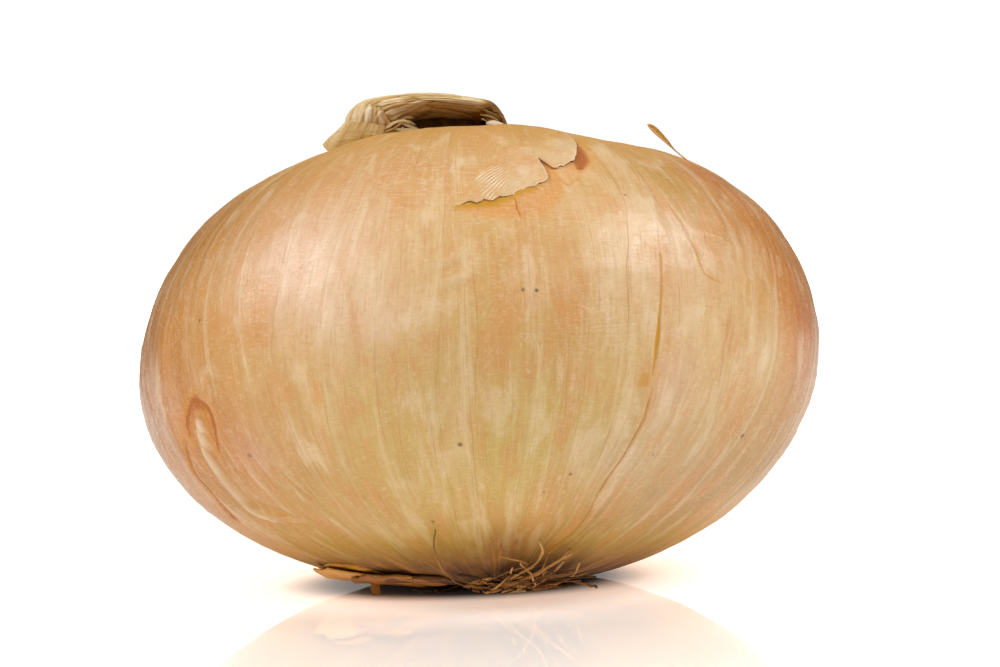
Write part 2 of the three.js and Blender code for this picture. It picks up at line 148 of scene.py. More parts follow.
def linear(red, green, blue):
    """Scene-linear colour from 0-255 display values."""
    c = np.array([red, green, blue], float) / 255
    return np.where(c <= 0.04045, c / 12.92, ((c + 0.055) / 1.055) ** 2.4)


PAINT_GAIN, SHEEN, DARKEST = 0.96, 0.035, 0.004


def paint(red, green, blue):
    """Scene-linear paint that looks like the display colour once the studio's sheen is added."""
    return np.clip(linear(red, green, blue) * PAINT_GAIN - SHEEN, DARKEST, 1)


# ------------------------------------------------------------------ the bulb's surface


def lean(points):
    """From the bulb's leaning frame to the row frame."""
    x, y, z = points[..., 0], points[..., 1], points[..., 2]
    c, s = math.cos(LEAN), math.sin(LEAN)
    return stack(x, y * c + z * s, -y * s + z * c) + BULB_MIDDLE


def in_bulb(x, y, z):
    return lean(stack(x, y, z))


def girth_share(theta):
    s = np.abs(np.sin(theta))
    return np.where(np.cos(theta) > 0, s**SHOULDER_SHARPNESS, s**FOOT_SHARPNESS)


def on_skin(theta, phi, lift=0.0):
    """A point over the skin; theta and phi in radians, lift in millimetres."""
    c = np.cos(theta)
    girth = girth_share(theta) * (1 + LOPSIDED * c * np.cos(phi - LOPSIDED_TOWARDS))
    pull = np.where(c > 0, 0, np.abs(c) ** 3)
    x = (HALF_WIDTH + lift) * girth * np.sin(phi) + ROOT_END_X * pull
    y = -(HALF_DEPTH + lift) * girth * np.cos(phi) + ROOT_END_Y * pull
    z = np.where(c > 0, CROWN_HEIGHT, ROOT_HEIGHT) * c + lift * c
    return lean(stack(x, y, z))


def dish(theta):
    """How far the neck crater and the root hollow lower the skin."""
    radius = HALF_WIDTH * girth_share(theta)
    crater = CRATER_DEPTH * smooth(radius, CRATER_RIM, CRATER_FLOOR)
    hollow = HOLLOW_DEPTH * smooth(radius, HOLLOW_RIM, HOLLOW_FLOOR)
    return np.where(np.cos(theta) > 0, crater, hollow)


def theta_at_root(distance):
    return math.pi - np.arcsin((np.asarray(distance) / HALF_WIDTH) ** (1 / FOOT_SHARPNESS))


def skin_path(pairs, count=80, lift=0.0):
    """Row-frame points along a route over the skin, from (theta, phi) pairs in degrees."""
    route = np.radians(curve_through(np.array(pairs, float), count))
    return on_skin(route[:, 0], route[:, 1], lift)


# ------------------------------------------------------------------ meshes

ATTRIBUTE_KINDS = {1: ("FLOAT", "value"), 3: ("FLOAT_VECTOR", "vector"), 4: ("FLOAT_COLOR", "color")}


def make_piece(name, points, faces, uv, replaces=(), map_names=("fibre",)):
    """A mesh object from millimetre points; it rides on the onion's one body."""
    mesh = bpy.data.meshes.new(name)
    mesh.from_pydata((np.asarray(points) * MM).tolist(), [], faces)
    mesh.update()
    mesh.polygons.foreach_set("use_smooth", [True] * len(mesh.polygons))
    for map_name in map_names:
        layer = mesh.uv_layers.new(name=map_name)
        layer.data.foreach_set("uv", np.asarray(uv, np.float32).ravel())
    piece = bpy.data.objects.new(name, mesh)
    bpy.context.scene.collection.objects.link(piece)
    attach(piece, "root")
    if replaces:
        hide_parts(*replaces)
    return piece


def give(piece, **layers):
    """Stores values for each vertex, for the materials to read; four columns make a colour."""
    for name, values in layers.items():
        values = np.asarray(values, np.float32)
        kind, field = ATTRIBUTE_KINDS[values.size // len(values)]
        attribute = piece.data.attributes.new(name, kind, "POINT")
        attribute.data.foreach_set(field, values.ravel())


def opaque(colours):
    return np.concatenate([colours, np.ones((len(colours), 1))], 1)


def round_angles(sides):
    return np.linspace(0, 2 * np.pi, sides, endpoint=False)


def oval_rings(middle, across, deep, angle, swell):
    """Rings round a line of middles; across and deep are each ring's half axes."""
    return (
        middle[:, None, :]
        + across[:, None, :] * (swell * np.cos(angle))[..., None]
        + deep[:, None, :] * (swell * np.sin(angle))[..., None]
    )


def closed_loft(rings, spine=None, step=None):
    """Points, faces and fibre map of a closed body through rings of shape (steps, sides, 3)."""
    steps, sides = rings.shape[:2]
    if spine is None:
        spine = rings.mean(1)
        step = np.linalg.norm(np.diff(rings, axis=1), axis=2).mean()
    points = np.vstack([spine[:1], rings.reshape(-1, 3), spine[-1:]])
    length = length_along(spine)
    end = 1 + (steps - 1) * sides
    faces, uv = [], []
    for k in range(sides):
        n = (k + 1) % sides
        left, right = k * step, (k + 1) * step
        faces.append([0, 1 + n, 1 + k])
        uv += [(left, 0), (right, 0), (left, 0)]
        for s in range(steps - 1):
            a, b = 1 + s * sides, 1 + (s + 1) * sides
            faces.append([a + k, a + n, b + n, b + k])
            low, high = length[s], length[s + 1]
            uv += [(left, low), (right, low), (right, high), (left, high)]
        faces.append([end + k, end + n, len(points) - 1])
        uv += [(left, length[-1])] * 3
    return points, faces, uv


class Bundle:
    """Several closed strands and sheets gathered into one mesh with a tone for each vertex."""

    def __init__(self):
        self.points, self.faces, self.uv, self.tones = [], [], [], []
        self.count = 0

    def add(self, points, faces, uv, tone):
        self.points.append(points)
        self.faces.extend([[i + self.count for i in f] for f in faces])
        self.uv.extend(uv)
        self.tones.append(np.broadcast_to(tone, (len(points),)))
        self.count += len(points)

    def tube(self, path, half_width, half_height, outward, tone, sides=8, lobes=0.0):
        """A strand along a path; its half sizes and its tone may change along it."""
        ahead = unit(np.gradient(path, axis=0))
        side = unit(np.cross(ahead, np.asarray(outward, float)))
        half_width = np.broadcast_to(half_width, (len(path),))[:, None]
        half_height = np.broadcast_to(half_height, (len(path),))[:, None]
        angle = round_angles(sides)[None, :]
        swell = 1 + lobes * np.cos(4 * angle)
        across, deep = side * half_width, np.cross(side, ahead) * half_height
        rings = oval_rings(path, across, deep, angle, swell)
        tone = np.broadcast_to(tone, (len(path),))
        tones = np.concatenate([tone[:1], np.repeat(tone, sides), tone[-1:]])
        self.add(*closed_loft(rings, path, 2 * np.pi * half_width.max() / sides), tones)

    def sheet(self, grid, thickness, tone):
        """A thin closed layer whose top is a grid of points of shape (across, along, 3)."""
        nu, nv = grid.shape[:2]
        normal = unit(np.cross(np.gradient(grid, axis=0), np.gradient(grid, axis=1)))
        points = np.concatenate([grid.reshape(-1, 3), (grid - normal * thickness).reshape(-1, 3)])
        across = np.linalg.norm(np.diff(grid, axis=0), axis=2).mean() * np.arange(nu)
        along = np.linalg.norm(np.diff(grid, axis=1), axis=2).mean() * np.arange(nv)
        under = nu * nv
        faces, uv = [], []

        def quad(corners, shift=0.0):
            faces.append([i * nv + j + side for i, j, side in corners])
            uv.extend([(across[i] + shift, along[j]) for i, j, _ in corners])

        def wall(here, there):
            quad([(*here, 0), (*here, under), (*there, under), (*there, 0)], shift=0.1)

        for i, j in np.ndindex(nu - 1, nv - 1):
            ring = [(i, j), (i + 1, j), (i + 1, j + 1), (i, j + 1)]
            quad([(*corner, 0) for corner in ring])
            quad([(*ring[k], under) for k in (0, 3, 2, 1)])
        for i in range(nu - 1):
            wall((i, 0), (i + 1, 0))
            wall((i + 1, nv - 1), (i, nv - 1))
        for j in range(nv - 1):
            wall((0, j + 1), (0, j))
            wall((nu - 1, j), (nu - 1, j + 1))
        tone = np.broadcast_to(tone, (nu, nv)).ravel()
        self.add(points, faces, uv, np.concatenate([tone, tone]))

    def piece(self, name, slot, replaces=()):
        points = np.vstack(self.points)
        made = make_piece(name, points, self.faces, self.uv, replaces)
        give(made, tone=np.concatenate(self.tones))
        return made


# ------------------------------------------------------------------ materials


class Graph:
    """A short way to write the nodes of a material or of the world."""

    def __init__(self, owner):
        owner.use_nodes = True
        self.owner = owner
        self.tree = owner.node_tree

    def feed(self, socket, value):
        if isinstance(value, bpy.types.NodeSocket):
            self.tree.links.new(value, socket)
        elif isinstance(value, (tuple, list, np.ndarray)):
            value = [float(v) for v in value]
            size = len(socket.default_value)
            socket.default_value = (value + [1.0])[:size]
        else:
            socket.default_value = value

    def fill(self, node, **values):
        """Feeds a node's sockets by name, with _ for a space."""
        for name, value in values.items():
            self.feed(node.inputs[name.replace("_", " ")], value)
        return node

    def node(self, kind, *values, **settings):
        made = self.tree.nodes.new("ShaderNode" + kind)
        for key, value in settings.items():
            setattr(made, key, value)
        for socket, value in zip(made.inputs, values):
            if value is not None:
                self.feed(socket, value)
        return made

    def attribute(self, name, output="Fac"):
        return self.node("Attribute", attribute_name=name).outputs[output]

    def uv(self, name="fibre"):
        return self.node("UVMap", uv_map=name).outputs[0]

    def place(self, scale=None):
        spot = self.node("TexCoord").outputs["Object"]
        return self.scaled(spot, (scale,) * 3) if scale else spot

    def math(self, operation, a, b=None, c=None):
        return self.node("Math", a, b, c, operation=operation).outputs[0]

    def times(self, first, *others):
        for other in others:
            first = self.math("MULTIPLY", first, other)
        return first

    def add_part(self, value, share, base):
        """A share of a value added to a base."""
        return self.math("MULTIPLY_ADD", value, share, base)

    def off_middle(self, value):
        return self.math("SUBTRACT", value, 0.5)

    def scaled(self, vector, factors):
        made = self.node("VectorMath", vector, factors, operation="MULTIPLY")
        return made.outputs[0]

    def distance(self, vector, centre):
        made = self.node("VectorMath", vector, tuple(centre), operation="DISTANCE")
        return made.outputs["Value"]

    def noise(self, vector, scale=1.0, detail=2.0, roughness=0.5, distortion=0.0):
        made = self.node("TexNoise")
        self.fill(made, Vector=vector, Scale=scale, Detail=detail)
        return self.fill(made, Roughness=roughness, Distortion=distortion).outputs[0]

    def remap(self, value, low, high, to_low=0.0, to_high=1.0):
        limits = (value, low, high, to_low, to_high)
        made = self.node("MapRange", *limits, interpolation_type="SMOOTHSTEP")
        return made.outputs[0]

    def mix(self, share, a, b, blend="MIX"):
        made = self.node("Mix", data_type="RGBA", blend_type=blend)
        for number, value in ((0, share), (6, a), (7, b)):
            self.feed(made.inputs[number], value)
        return made.outputs[2]

    def ramp(self, value, stops):
        """Display colours blended by a value, from stops of (value, colour)."""
        made = self.node("ValToRGB", value)
        elements = made.color_ramp.elements
        while len(elements) < len(stops):
            elements.new(0.5)
        for element, (where, colour) in zip(elements, stops):
            element.position = where
            element.color = [*linear(*colour), 1]
        return made.outputs[0]

    def surface(self, colour, roughness, height, distance, strength=0.6, ior=1.4):
        """Finishes a material: its colour, roughness and fine relief."""
        bump = self.node("Bump")
        self.fill(bump, Height=height, Distance=distance, Strength=strength)
        shader = self.tree.nodes["Principled BSDF"]
        self.fill(shader, Base_Color=colour, Roughness=roughness, Normal=bump.outputs[0], IOR=ior)
        return self.owner


def new_graph(name):
    return Graph(bpy.data.materials.new(name))


# ------------------------------------------------------------------ veins

# Veins that can be followed on the front, each as (theta, phi) pairs in degrees.
FRONT_VEINS = [
    [(40, -54), (75, -53), (100, -50.5), (150, -50)],
    [(34, -42), (77, -41), (89.5, -39.5), (110.8, -39.2), (150, -37)],
    [(34, -33), (70, -32), (110, -33.5), (150, -32)],
    [(34.2, -23), (50.5, -21.5), (60.3, -22.5), (69.8, -23.5), (82.2, -24.5)]
    + [(105.2, -25.2), (126.5, -26.8), (146, -25.8)],
    [(40, -15), (80, -15.5), (120, -17), (150, -16)],
    [(38, -6.5), (57.7, -5.8), (79.2, -6.2), (93.2, -7.8), (111.5, -8.5), (151.5, -8.8)],
    [(38.2, -3.7), (72.2, -2), (107, -1.8), (147.8, -1.8)],
    [(38, 8.5), (84.8, 8), (107.5, 7.8), (119.5, 7.3), (132.8, 6), (148, 4.8)],
    [(40, 17), (80, 17.2), (110, 16.5), (150, 13.5)],
    [(30, 34), (67.2, 31.3), (74.8, 30.2), (84.5, 29.2), (95, 28.5), (112.2, 28.5)]
    + [(119.8, 26.8), (130.3, 24), (141, 24.2), (150.5, 19.2)],
    [(37.2, 35.2), (50.8, 34.5), (60.5, 36.2), (76.8, 37), (110, 35.5), (150, 29)],
    [(50, 46), (83.2, 44.5), (93, 43), (111.8, 43), (150, 37)],
    [(40, 58), (69, 56.2), (82.2, 53.2), (103.8, 53), (150, 48)],
]
# How dark each front vein's fine line is, and how clear the pale band round it.
FRONT_DARK = [0.3, 0.5, 0.3, 0.9, 0.3, 0.6, 0.5, 0.4, 0.35, 0.3, 0.6, 0.4, 0.4]
FRONT_PALE = [0.3, 0.5, 0.3, 0.6, 0.3, 0.65, 0.2, 0.8, 0.4, 0.1, 0.35, 0.4, 0.4]
VEIN_SAMPLES = 61
EQUATOR = VEIN_SAMPLES // 2


def vein_table():
    """Every vein round the bulb: its phi on a common scale of theta, and its two strengths."""
    scale = np.radians(np.linspace(0, 180, VEIN_SAMPLES))
    rng = np.random.default_rng(11)
    routes, dark, pale = [], [], []
    for pairs, line, band in zip(FRONT_VEINS, FRONT_DARK, FRONT_PALE):
        pairs = np.array(pairs, float)
        routes.append(np.interp(np.degrees(scale), pairs[:, 0], pairs[:, 1]))
        dark.append(line)
        pale.append(band)
    start, stop = 64.0, 360 - 62.0
    count = 25
    for k in range(count):
        middle = start + (stop - start) * (k + 0.5 + 0.35 * rng.uniform(-1, 1)) / count
        swing = rng.uniform(-1.6, 1.6)
        routes.append(middle + swing * np.cos(scale) + 0.5 * np.sin(3 * scale + k))
        dark.append(rng.uniform(0.25, 0.8))
        pale.append(rng.uniform(0.25, 0.8))
    routes = np.radians(np.array(routes))
    kernel = np.ones(5) / 5
    padded = np.pad(routes, ((0, 0), (2, 2)), mode="edge")
    routes = np.array([np.convolve(row, kernel, "valid") for row in padded])
    order = np.argsort(routes[:, EQUATOR])
    return scale, routes[order], np.array(dark)[order], np.array(pale)[order]


VEIN_SCALE, VEIN_PHI, VEIN_DARK, VEIN_PALE = vein_table()
VEIN_U = VEIN_PHI[:, EQUATOR]  # a vein's own longitude is where it crosses the equator


def follow_veins(u, theta):
    """The longitude phi of a grid line u at theta: lines between two veins share their bends."""
    turns = np.concatenate([VEIN_U[-1:] - 2 * np.pi, VEIN_U, VEIN_U[:1] + 2 * np.pi])
    bends = VEIN_PHI - VEIN_U[:, None]
    bends = np.concatenate([bends[-1:], bends, bends[:1]])
    wrapped = (u - turns[0]) % (2 * np.pi) + turns[0]
    k = np.clip(np.searchsorted(turns, wrapped, side="right") - 1, 0, len(turns) - 2)
    share = (wrapped - turns[k]) / (turns[k + 1] - turns[k])
    share = share * share * (3 - 2 * share)
    where = theta / np.pi * (len(VEIN_SCALE) - 1)
    i = np.minimum(where.astype(int), len(VEIN_SCALE) - 2)
    t = where - i
    low = bends[k, i] * (1 - t) + bends[k, i + 1] * t
    high = bends[k + 1, i] * (1 - t) + bends[k + 1, i + 1] * t
    return u + low * (1 - share) + high * share


def nearest_vein(u):
    """Signed angle from the nearest vein and that vein's number."""
    gap = (u[:, None] - VEIN_U[None, :] + np.pi) % (2 * np.pi) - np.pi
    number = np.abs(gap).argmin(1)
    return gap[np.arange(len(u)), number], number


# ------------------------------------------------------------------ marks on the skin

SPLIT_ROUTE = [(73, 30.5), (80, 29.8), (89, 28.9), (96, 28.5), (101.5, 28.2)]
CRACK_ROUTE = [(106, 28.5), (112, 28.3), (120, 26.8), (130, 24.4), (141, 24.1), (147, 22), (151, 19)]
SCAR_ROUTE = [(106, -53.2), (108.2, -54.2), (112.5, -55.8), (119.3, -57), (126.5, -57.2)]
SCAR_ROUTE += [(131.5, -57), (134.2, -52.8)]
SCAR_LEFT_ROUTE = [(101.5, -53.5), (103.2, -55.5), (106.8, -58.5), (109.4, -59.5)]
SCAR_TOP_ROUTE = [(101.8, -53.2), (102.6, -51.6), (104.2, -50.3), (107.8, -50.3), (113.5, -52.5)]
SCAR_TOP_ROUTE += [(117.3, -53.4)]
SCAR_GROOVE_ROUTE = [(110.8, -62), (118, -66), (124.8, -66.8), (132.2, -71.4)]
SCAR_TAIL_ROUTE = [(134.2, -52.8), (135.4, -49.5), (136, -46)]
# Fine cracks in the skin: how dark each one is, and its route.
SKIN_CRACKS = [
    (0.42, [(119.8, -53.2), (120.2, -50.8), (124, -49.5)]),
    (0.42, [(120.2, -41), (126.8, -38.8), (130.8, -37.8)]),
    (0.3, [(59.5, 36), (67.5, 37.2), (74.5, 38), (77.5, 38.4), (78.8, 40.8), (80, 42.8)]),
    (0.3, [(65.2, 40.2), (66.8, 43.8), (69.5, 47.8)]),
    (0.3, [(49.3, 15.8), (53, 17.2), (51.5, 19), (49.5, 21)]),
]
FLAKE_CRACK_ROUTE = [(56.6, 6.7), (58.5, 7.3), (60.3, 7.2), (63.8, 7.9)]
SCAR_HOOK_ROUTE = SCAR_LEFT_ROUTE[::-1] + SCAR_TOP_ROUTE[1:]
# Thin dark lines on the skin: half width in millimetres, strength and route.
HAIRLINES = [
    (0.36, 0.95, SCAR_HOOK_ROUTE),
    (0.26, 0.75, SCAR_GROOVE_ROUTE),
    (0.11, 0.62, CRACK_ROUTE),
    (0.1, 0.75, FLAKE_CRACK_ROUTE),
    (0.2, 0.4, SCAR_TAIL_ROUTE),
    (0.62, 0.95, [(101, -54.4), (101.6, -52.6), (102.4, -50.8)]),
    (0.75, 0.42, [(101.2, 27.2), (103, 27), (105.2, 26.6)]),
]
HAIRLINES += [(0.09, 0.55, route) for _, route in SKIN_CRACKS]
LEFT_SLIT_ROUTE = [(64.8, -52.4), (62, -51.8), (58.5, -51.3)]
SPOT_ROUTE = [(46.4, 22.1), (43.5, 23.3), (41, 24.1), (37.5, 25.6), (32, 27.4)]
# Strokes along the marks: a route, the layer it adds to, its amount, its half width, how far its
# middle is from the route, and the share of it that is lost by the route's end.
STROKES = [
    (SCAR_LEFT_ROUTE, "height", -0.22, 0.5, 0, 0),
    (SCAR_LEFT_ROUTE, "stain", 0.3, 0.42, 0, 0),
    (SCAR_LEFT_ROUTE, "stain", 0.42, 1.2, 0, 0),
    (SCAR_TOP_ROUTE, "height", -0.2, 0.5, 0, 0.5),
    (SCAR_TOP_ROUTE, "stain", 0.3, 0.42, 0, 0.5),
    (SCAR_TOP_ROUTE, "stain", 0.42, 1.3, 0, 1),
    (SCAR_GROOVE_ROUTE, "height", -0.28, 0.5, 0, 0),
    (SCAR_GROOVE_ROUTE, "stain", 0.22, 1.6, 0, 0),
    (SCAR_TAIL_ROUTE, "height", 0.3, 0.7, 0, 1),
    (SCAR_TAIL_ROUTE, "stain", 0.26, 0.35, 0.8, 0),
    (LEFT_SLIT_ROUTE, "height", 0.2, 0.25, 0.35, 1),
    (LEFT_SLIT_ROUTE, "stain", 0.55, 0.3, 0, 0.4),
    (SPOT_ROUTE, "stain", 0.38, 1.4, 0, 0),
]
STROKE_REACH = 4  # in millimetres
# The torn flake on the shoulder, (phi, theta) in degrees: its free edge, with a notch between
# two lobes, and the line where it grows out of the skin.
FLAKE_TORN_EDGE = [(-3.5, 59.5), (-2, 59), (-0.2, 58.2), (1.5, 58), (3, 58.1), (4.5, 57)]
FLAKE_TORN_EDGE += [(6, 56.3), (7.3, 55.8), (8.2, 54.9), (9, 54.3), (10.5, 53.8), (11.8, 53)]
FLAKE_TORN_EDGE += [(12.8, 52), (14, 50.6), (13.9, 48), (13.6, 45.2), (13.3, 41.8)]
FLAKE_TORN_EDGE += [(14.9, 41.8), (15.2, 44.2), (15.3, 46.6), (16.2, 46.9), (17.8, 46.2)]
FLAKE_TORN_EDGE += [(19.2, 44.6), (21, 42.8), (22.8, 39.5), (24.6, 35), (26.2, 30.4), (27, 26)]
FLAKE_ROOT_LINE = [(-3.9, 59.2), (-2.6, 55), (-1.4, 50.8), (0.2, 45.8), (2, 41.5), (5, 36.6)]
FLAKE_ROOT_LINE += [(9, 33), (13, 30.6), (17, 28.4), (22, 26.2), (26.6, 25.4)]
# Where the painted golden shadow under the flake's torn edge runs: (theta, phi) in degrees.
FLAKE_SHADE_ROUTE = [(59.9, -3.2), (59.2, -1), (58.8, 1), (58.7, 3), (57.3, 5), (56.4, 7)]
FLAKE_SHADE_ROUTE += [(55, 9), (54.2, 11), (52.8, 12.8), (50.8, 14.6)]
# The patch round it where an older, more orange layer shows: (phi, theta) round its edge.
BARE_PATCH = [(-3, 58), (-2.2, 60), (1, 62.5), (5, 63.5), (8.2, 63.5), (11.8, 62.2), (15, 57.2)]
BARE_PATCH += [(18.2, 51.2), (23.2, 46), (27, 41), (24, 38), (14, 36), (8, 45), (0, 54)]

# Broad changes of colour, some of them painted highlights and painted shade: theta, phi, reach of each
# in degrees, display colour, strength.
TINTS = [
    (97, -62, 32, 17, (194, 122, 52), 0.8),
    (111, -54, 14, 11, (186, 116, 54), 0.7),
    # darker orange down the left side: partly the skin's own colour, partly painted shade against the
    # light and reflections it catches
    (94, -80, 42, 18, (148, 86, 26), 0.85),
    (56, -54, 14, 16, (184, 122, 54), 0.8),
    (56, -68, 14, 12, (168, 110, 44), 0.6),
    # pinkish white at the upper left: a painted highlight
    (66, -31, 15, 14, (236, 192, 164), 0.7),
    (48, -34, 12, 14, (208, 150, 92), 0.65),
    (42, -14, 12, 18, (210, 154, 94), 0.6),
    # a painted highlight
    (78, -26, 16, 13, (234, 190, 158), 0.6),
    # pinkish white at the upper right: a painted highlight
    (66, 38, 17, 13, (236, 198, 164), 0.62),
    (40, -52, 13, 16, (188, 130, 50), 0.6),
    (128, 46, 14, 20, (184, 150, 96), 0.55),
    (95, 2, 20, 9, (210, 166, 104), 0.5),
    (120, 4, 22, 20, (208, 176, 102), 0.8),
    (114, -38, 16, 12, (194, 138, 80), 0.65),
    (84, 14, 12, 6, (206, 142, 84), 0.45),
    # a painted highlight
    (78, 27, 13, 9, (230, 190, 150), 0.5),
    (44, 26, 10, 12, (208, 158, 90), 0.6),
    (125, 42, 20, 18, (203, 170, 124), 0.8),
    (104, 33, 9, 5, (216, 170, 142), 0.65),
    (92, 50, 18, 12, (214, 166, 114), 0.5),
    (50, 42, 13, 9, (188, 138, 10), 0.95),
    (45, 56, 9, 8, (186, 98, 26), 0.8),
    (64, 58, 14, 9, (198, 120, 46), 0.8),
    (82, 62, 16, 6, (204, 122, 36), 0.8),
    # darker orange down the right side: partly the skin's own colour, partly painted shade against the
    # light and reflections it catches
    (90, 69, 16, 6, (198, 96, 22), 0.85),
    (88, 80, 34, 11, (146, 82, 12), 0.85),
    (108, 66, 16, 12, (190, 136, 74), 0.5),
    (60, 78, 24, 16, (168, 98, 44), 0.75),
    (112, 74, 16, 10, (186, 136, 78), 0.6),
    (126, 55, 12, 18, (184, 142, 90), 0.5),
    (116, -46, 6, 5, (206, 154, 126), 0.75),
    (149, 6, 8, 13, (150, 92, 38), 0.8),
    (140, 26, 7, 9, (168, 112, 52), 0.45),
    (27, -20, 9, 40, (192, 140, 66), 0.6),
    (26, 40, 9, 30, (196, 146, 70), 0.6),
    (95, 180, 30, 60, (205, 150, 92), 0.5),
    (70, 130, 20, 25, (216, 164, 110), 0.5),
    (105, -130, 26, 25, (214, 158, 100), 0.5),
    (55, -140, 14, 30, (212, 166, 108), 0.5),
    (120, 120, 18, 30, (206, 170, 108), 0.5),
    # these three pinkish-white patches are painted highlights
    (86, -17, 9, 9, (238, 198, 164), 0.5),
    (90, 35, 12, 8, (232, 196, 152), 0.42),
    (80, 12, 7, 6, (228, 184, 138), 0.42),
    (122, 26, 9, 9, (208, 176, 140), 0.5),
    (47.5, 29, 8, 9, (198, 146, 82), 0.5),
    (64, 52, 8, 8, (196, 122, 56), 0.5),
    (111, -53, 12, 10, (190, 120, 54), 0.6),
    (137, 50, 10, 12, (170, 134, 78), 0.5),
    (72, 4.5, 6, 5, (208, 152, 88), 0.42),
    (140, -27, 8, 12, (208, 172, 118), 0.6),
    (95, 51, 9, 8, (220, 190, 148), 0.45),
]
# The ground colour from the neck end to the root end.
GROUND = [
    (0, (150, 104, 56)),
    (14, (186, 134, 72)),
    (26, (204, 154, 88)),
    (50, (218, 171, 113)),
    (90, (214, 170, 110)),
    (118, (209, 170, 106)),
    (134, (203, 162, 94)),
    (145, (190, 146, 58)),
    (153, (152, 106, 30)),
    (159, (92, 56, 12)),
    (165, (50, 29, 6)),
    (172, (40, 22, 5)),
    (180, (30, 16, 4)),
]
BARE_SKIN = (222, 156, 94)
# Swells and dips of the skin: millimetres, then theta, phi and both reaches in degrees. First the
# shoulder in front of the neck, which sinks to its right, then the outline at the two sides.
SHOULDER_SWELLS = [(0.8, 20, -14, 11, 30), (0.35, 20, -38, 10, 12), (0.48, 20, 14, 9, 9)]
SHOULDER_SWELLS += [(0.4, 20, 26, 9, 8), (-0.5, 20, 50, 9, 17)]
OUTLINE_DENTS = [(-0.55, 119, -82, 2, 5), (-0.35, 100, -72, 14, 7), (0.25, 57, 66, 5, 5)]
OUTLINE_DENTS += [(-0.3, 66, 70, 6, 5)]
# Where level wrinkles show in the colour: strength, theta, phi and both reaches.
WRINKLES = [(1.0, 46, -14, 16, 17), (0.7, 90, 22, 9, 12), (0.5, 62, 10, 12, 12)]


def spot(theta_deg, phi_deg, theta0, phi0, reach_theta, reach_phi):
    """1 at a place on the skin, falling to 0 over its reach in degrees."""
    gap = (phi_deg - phi0 + 180) % 360 - 180
    return np.exp(-(((theta_deg - theta0) / reach_theta) ** 2) - (gap / reach_phi) ** 2)


def spots(theta_deg, phi_deg, rows):
    """Several spots added up; each row has its amount first."""
    return sum(amount * spot(theta_deg, phi_deg, *row) for amount, *row in rows)


def skin_tint(theta_deg, phi_deg):
    """The skin's broad colour, without its streaks and marks."""
    stops = [theta for theta, _ in GROUND]
    shades = np.array([paint(*colour) for _, colour in GROUND])
    tint = stack(*[np.interp(theta_deg, stops, shades[:, k]) for k in range(3)])
    for *place_and_reach, colour, strength in TINTS:
        share = strength * spot(theta_deg, phi_deg, *place_and_reach)
        tint = tint + (paint(*colour) - tint) * share[..., None]
    return tint


def broad_relief(places, sides):
    """The skin's slow rise and fall in millimetres, at places in the row frame."""
    return 0.1 * noise(places * 0.22, 6) * sides + 0.3 * noise(places * 0.06, 5) * sides**2


def inside_outline(x, y, outline):
    """How far inside (positive) or outside a closed outline each point lies."""
    outline = np.array(outline, float)
    inside = np.zeros(len(x), bool)
    reach = np.full(len(x), FAR)
    for (x0, y0), (x1, y1) in zip(outline, np.roll(outline, -1, 0)):
        crosses = (y0 > y) != (y1 > y)
        with np.errstate(divide="ignore", invalid="ignore"):
            at = x0 + (y - y0) * (x1 - x0) / (y1 - y0)
        inside ^= crosses & (x < at)
        dx, dy = x1 - x0, y1 - y0
        t = np.clip(((x - x0) * dx + (y - y0) * dy) / (dx * dx + dy * dy), 0, 1)
        reach = np.minimum(reach, np.hypot(x - x0 - t * dx, y - y0 - t * dy))
    return np.where(inside, reach, -reach)


# ------------------------------------------------------------------ the bulb's skin

# The skin's grid: its rows from neck to roots, and the lines round it, in degrees.
ROWS, FIRST_ROW = 196, 1.2
FRONT_STEP, BACK_STEP, FRONT_HALF = 1.15, 2.4, math.radians(100)
VEIN_OFFSETS = (-0.75, -0.22, 0, 0.22, 0.75)
SPLIT_PHI, SPLIT_OFFSETS = 28.9, (-0.5, -0.36, 0.36, 0.5)
CLOSEST_LINES = math.radians(0.09)
SKIN_UNDER_CAD = 0.25  # how far the skin lies under the CAD's bulb, in millimetres
VEIN_TINGE = 0.3  # how strongly the veins show in the skin's colour


def skin_columns():
    """Grid lines round the bulb: closer at the front, five at each vein and four at the split."""
    lines = []
    u = -math.pi
    while u < math.pi - 1e-6:
        lines.append(u)
        u += math.radians(FRONT_STEP if abs(u) < FRONT_HALF else BACK_STEP)
    for vein in VEIN_U:
        for offset in VEIN_OFFSETS:
            lines.append((vein + math.radians(offset) + math.pi) % (2 * math.pi) - math.pi)
    lines = sorted(lines + [math.radians(SPLIT_PHI + offset) for offset in SPLIT_OFFSETS])
    kept = lines[:1]
    for u in lines[1:]:
        if u - kept[-1] > CLOSEST_LINES:
            kept.append(u)
    return np.array(kept)


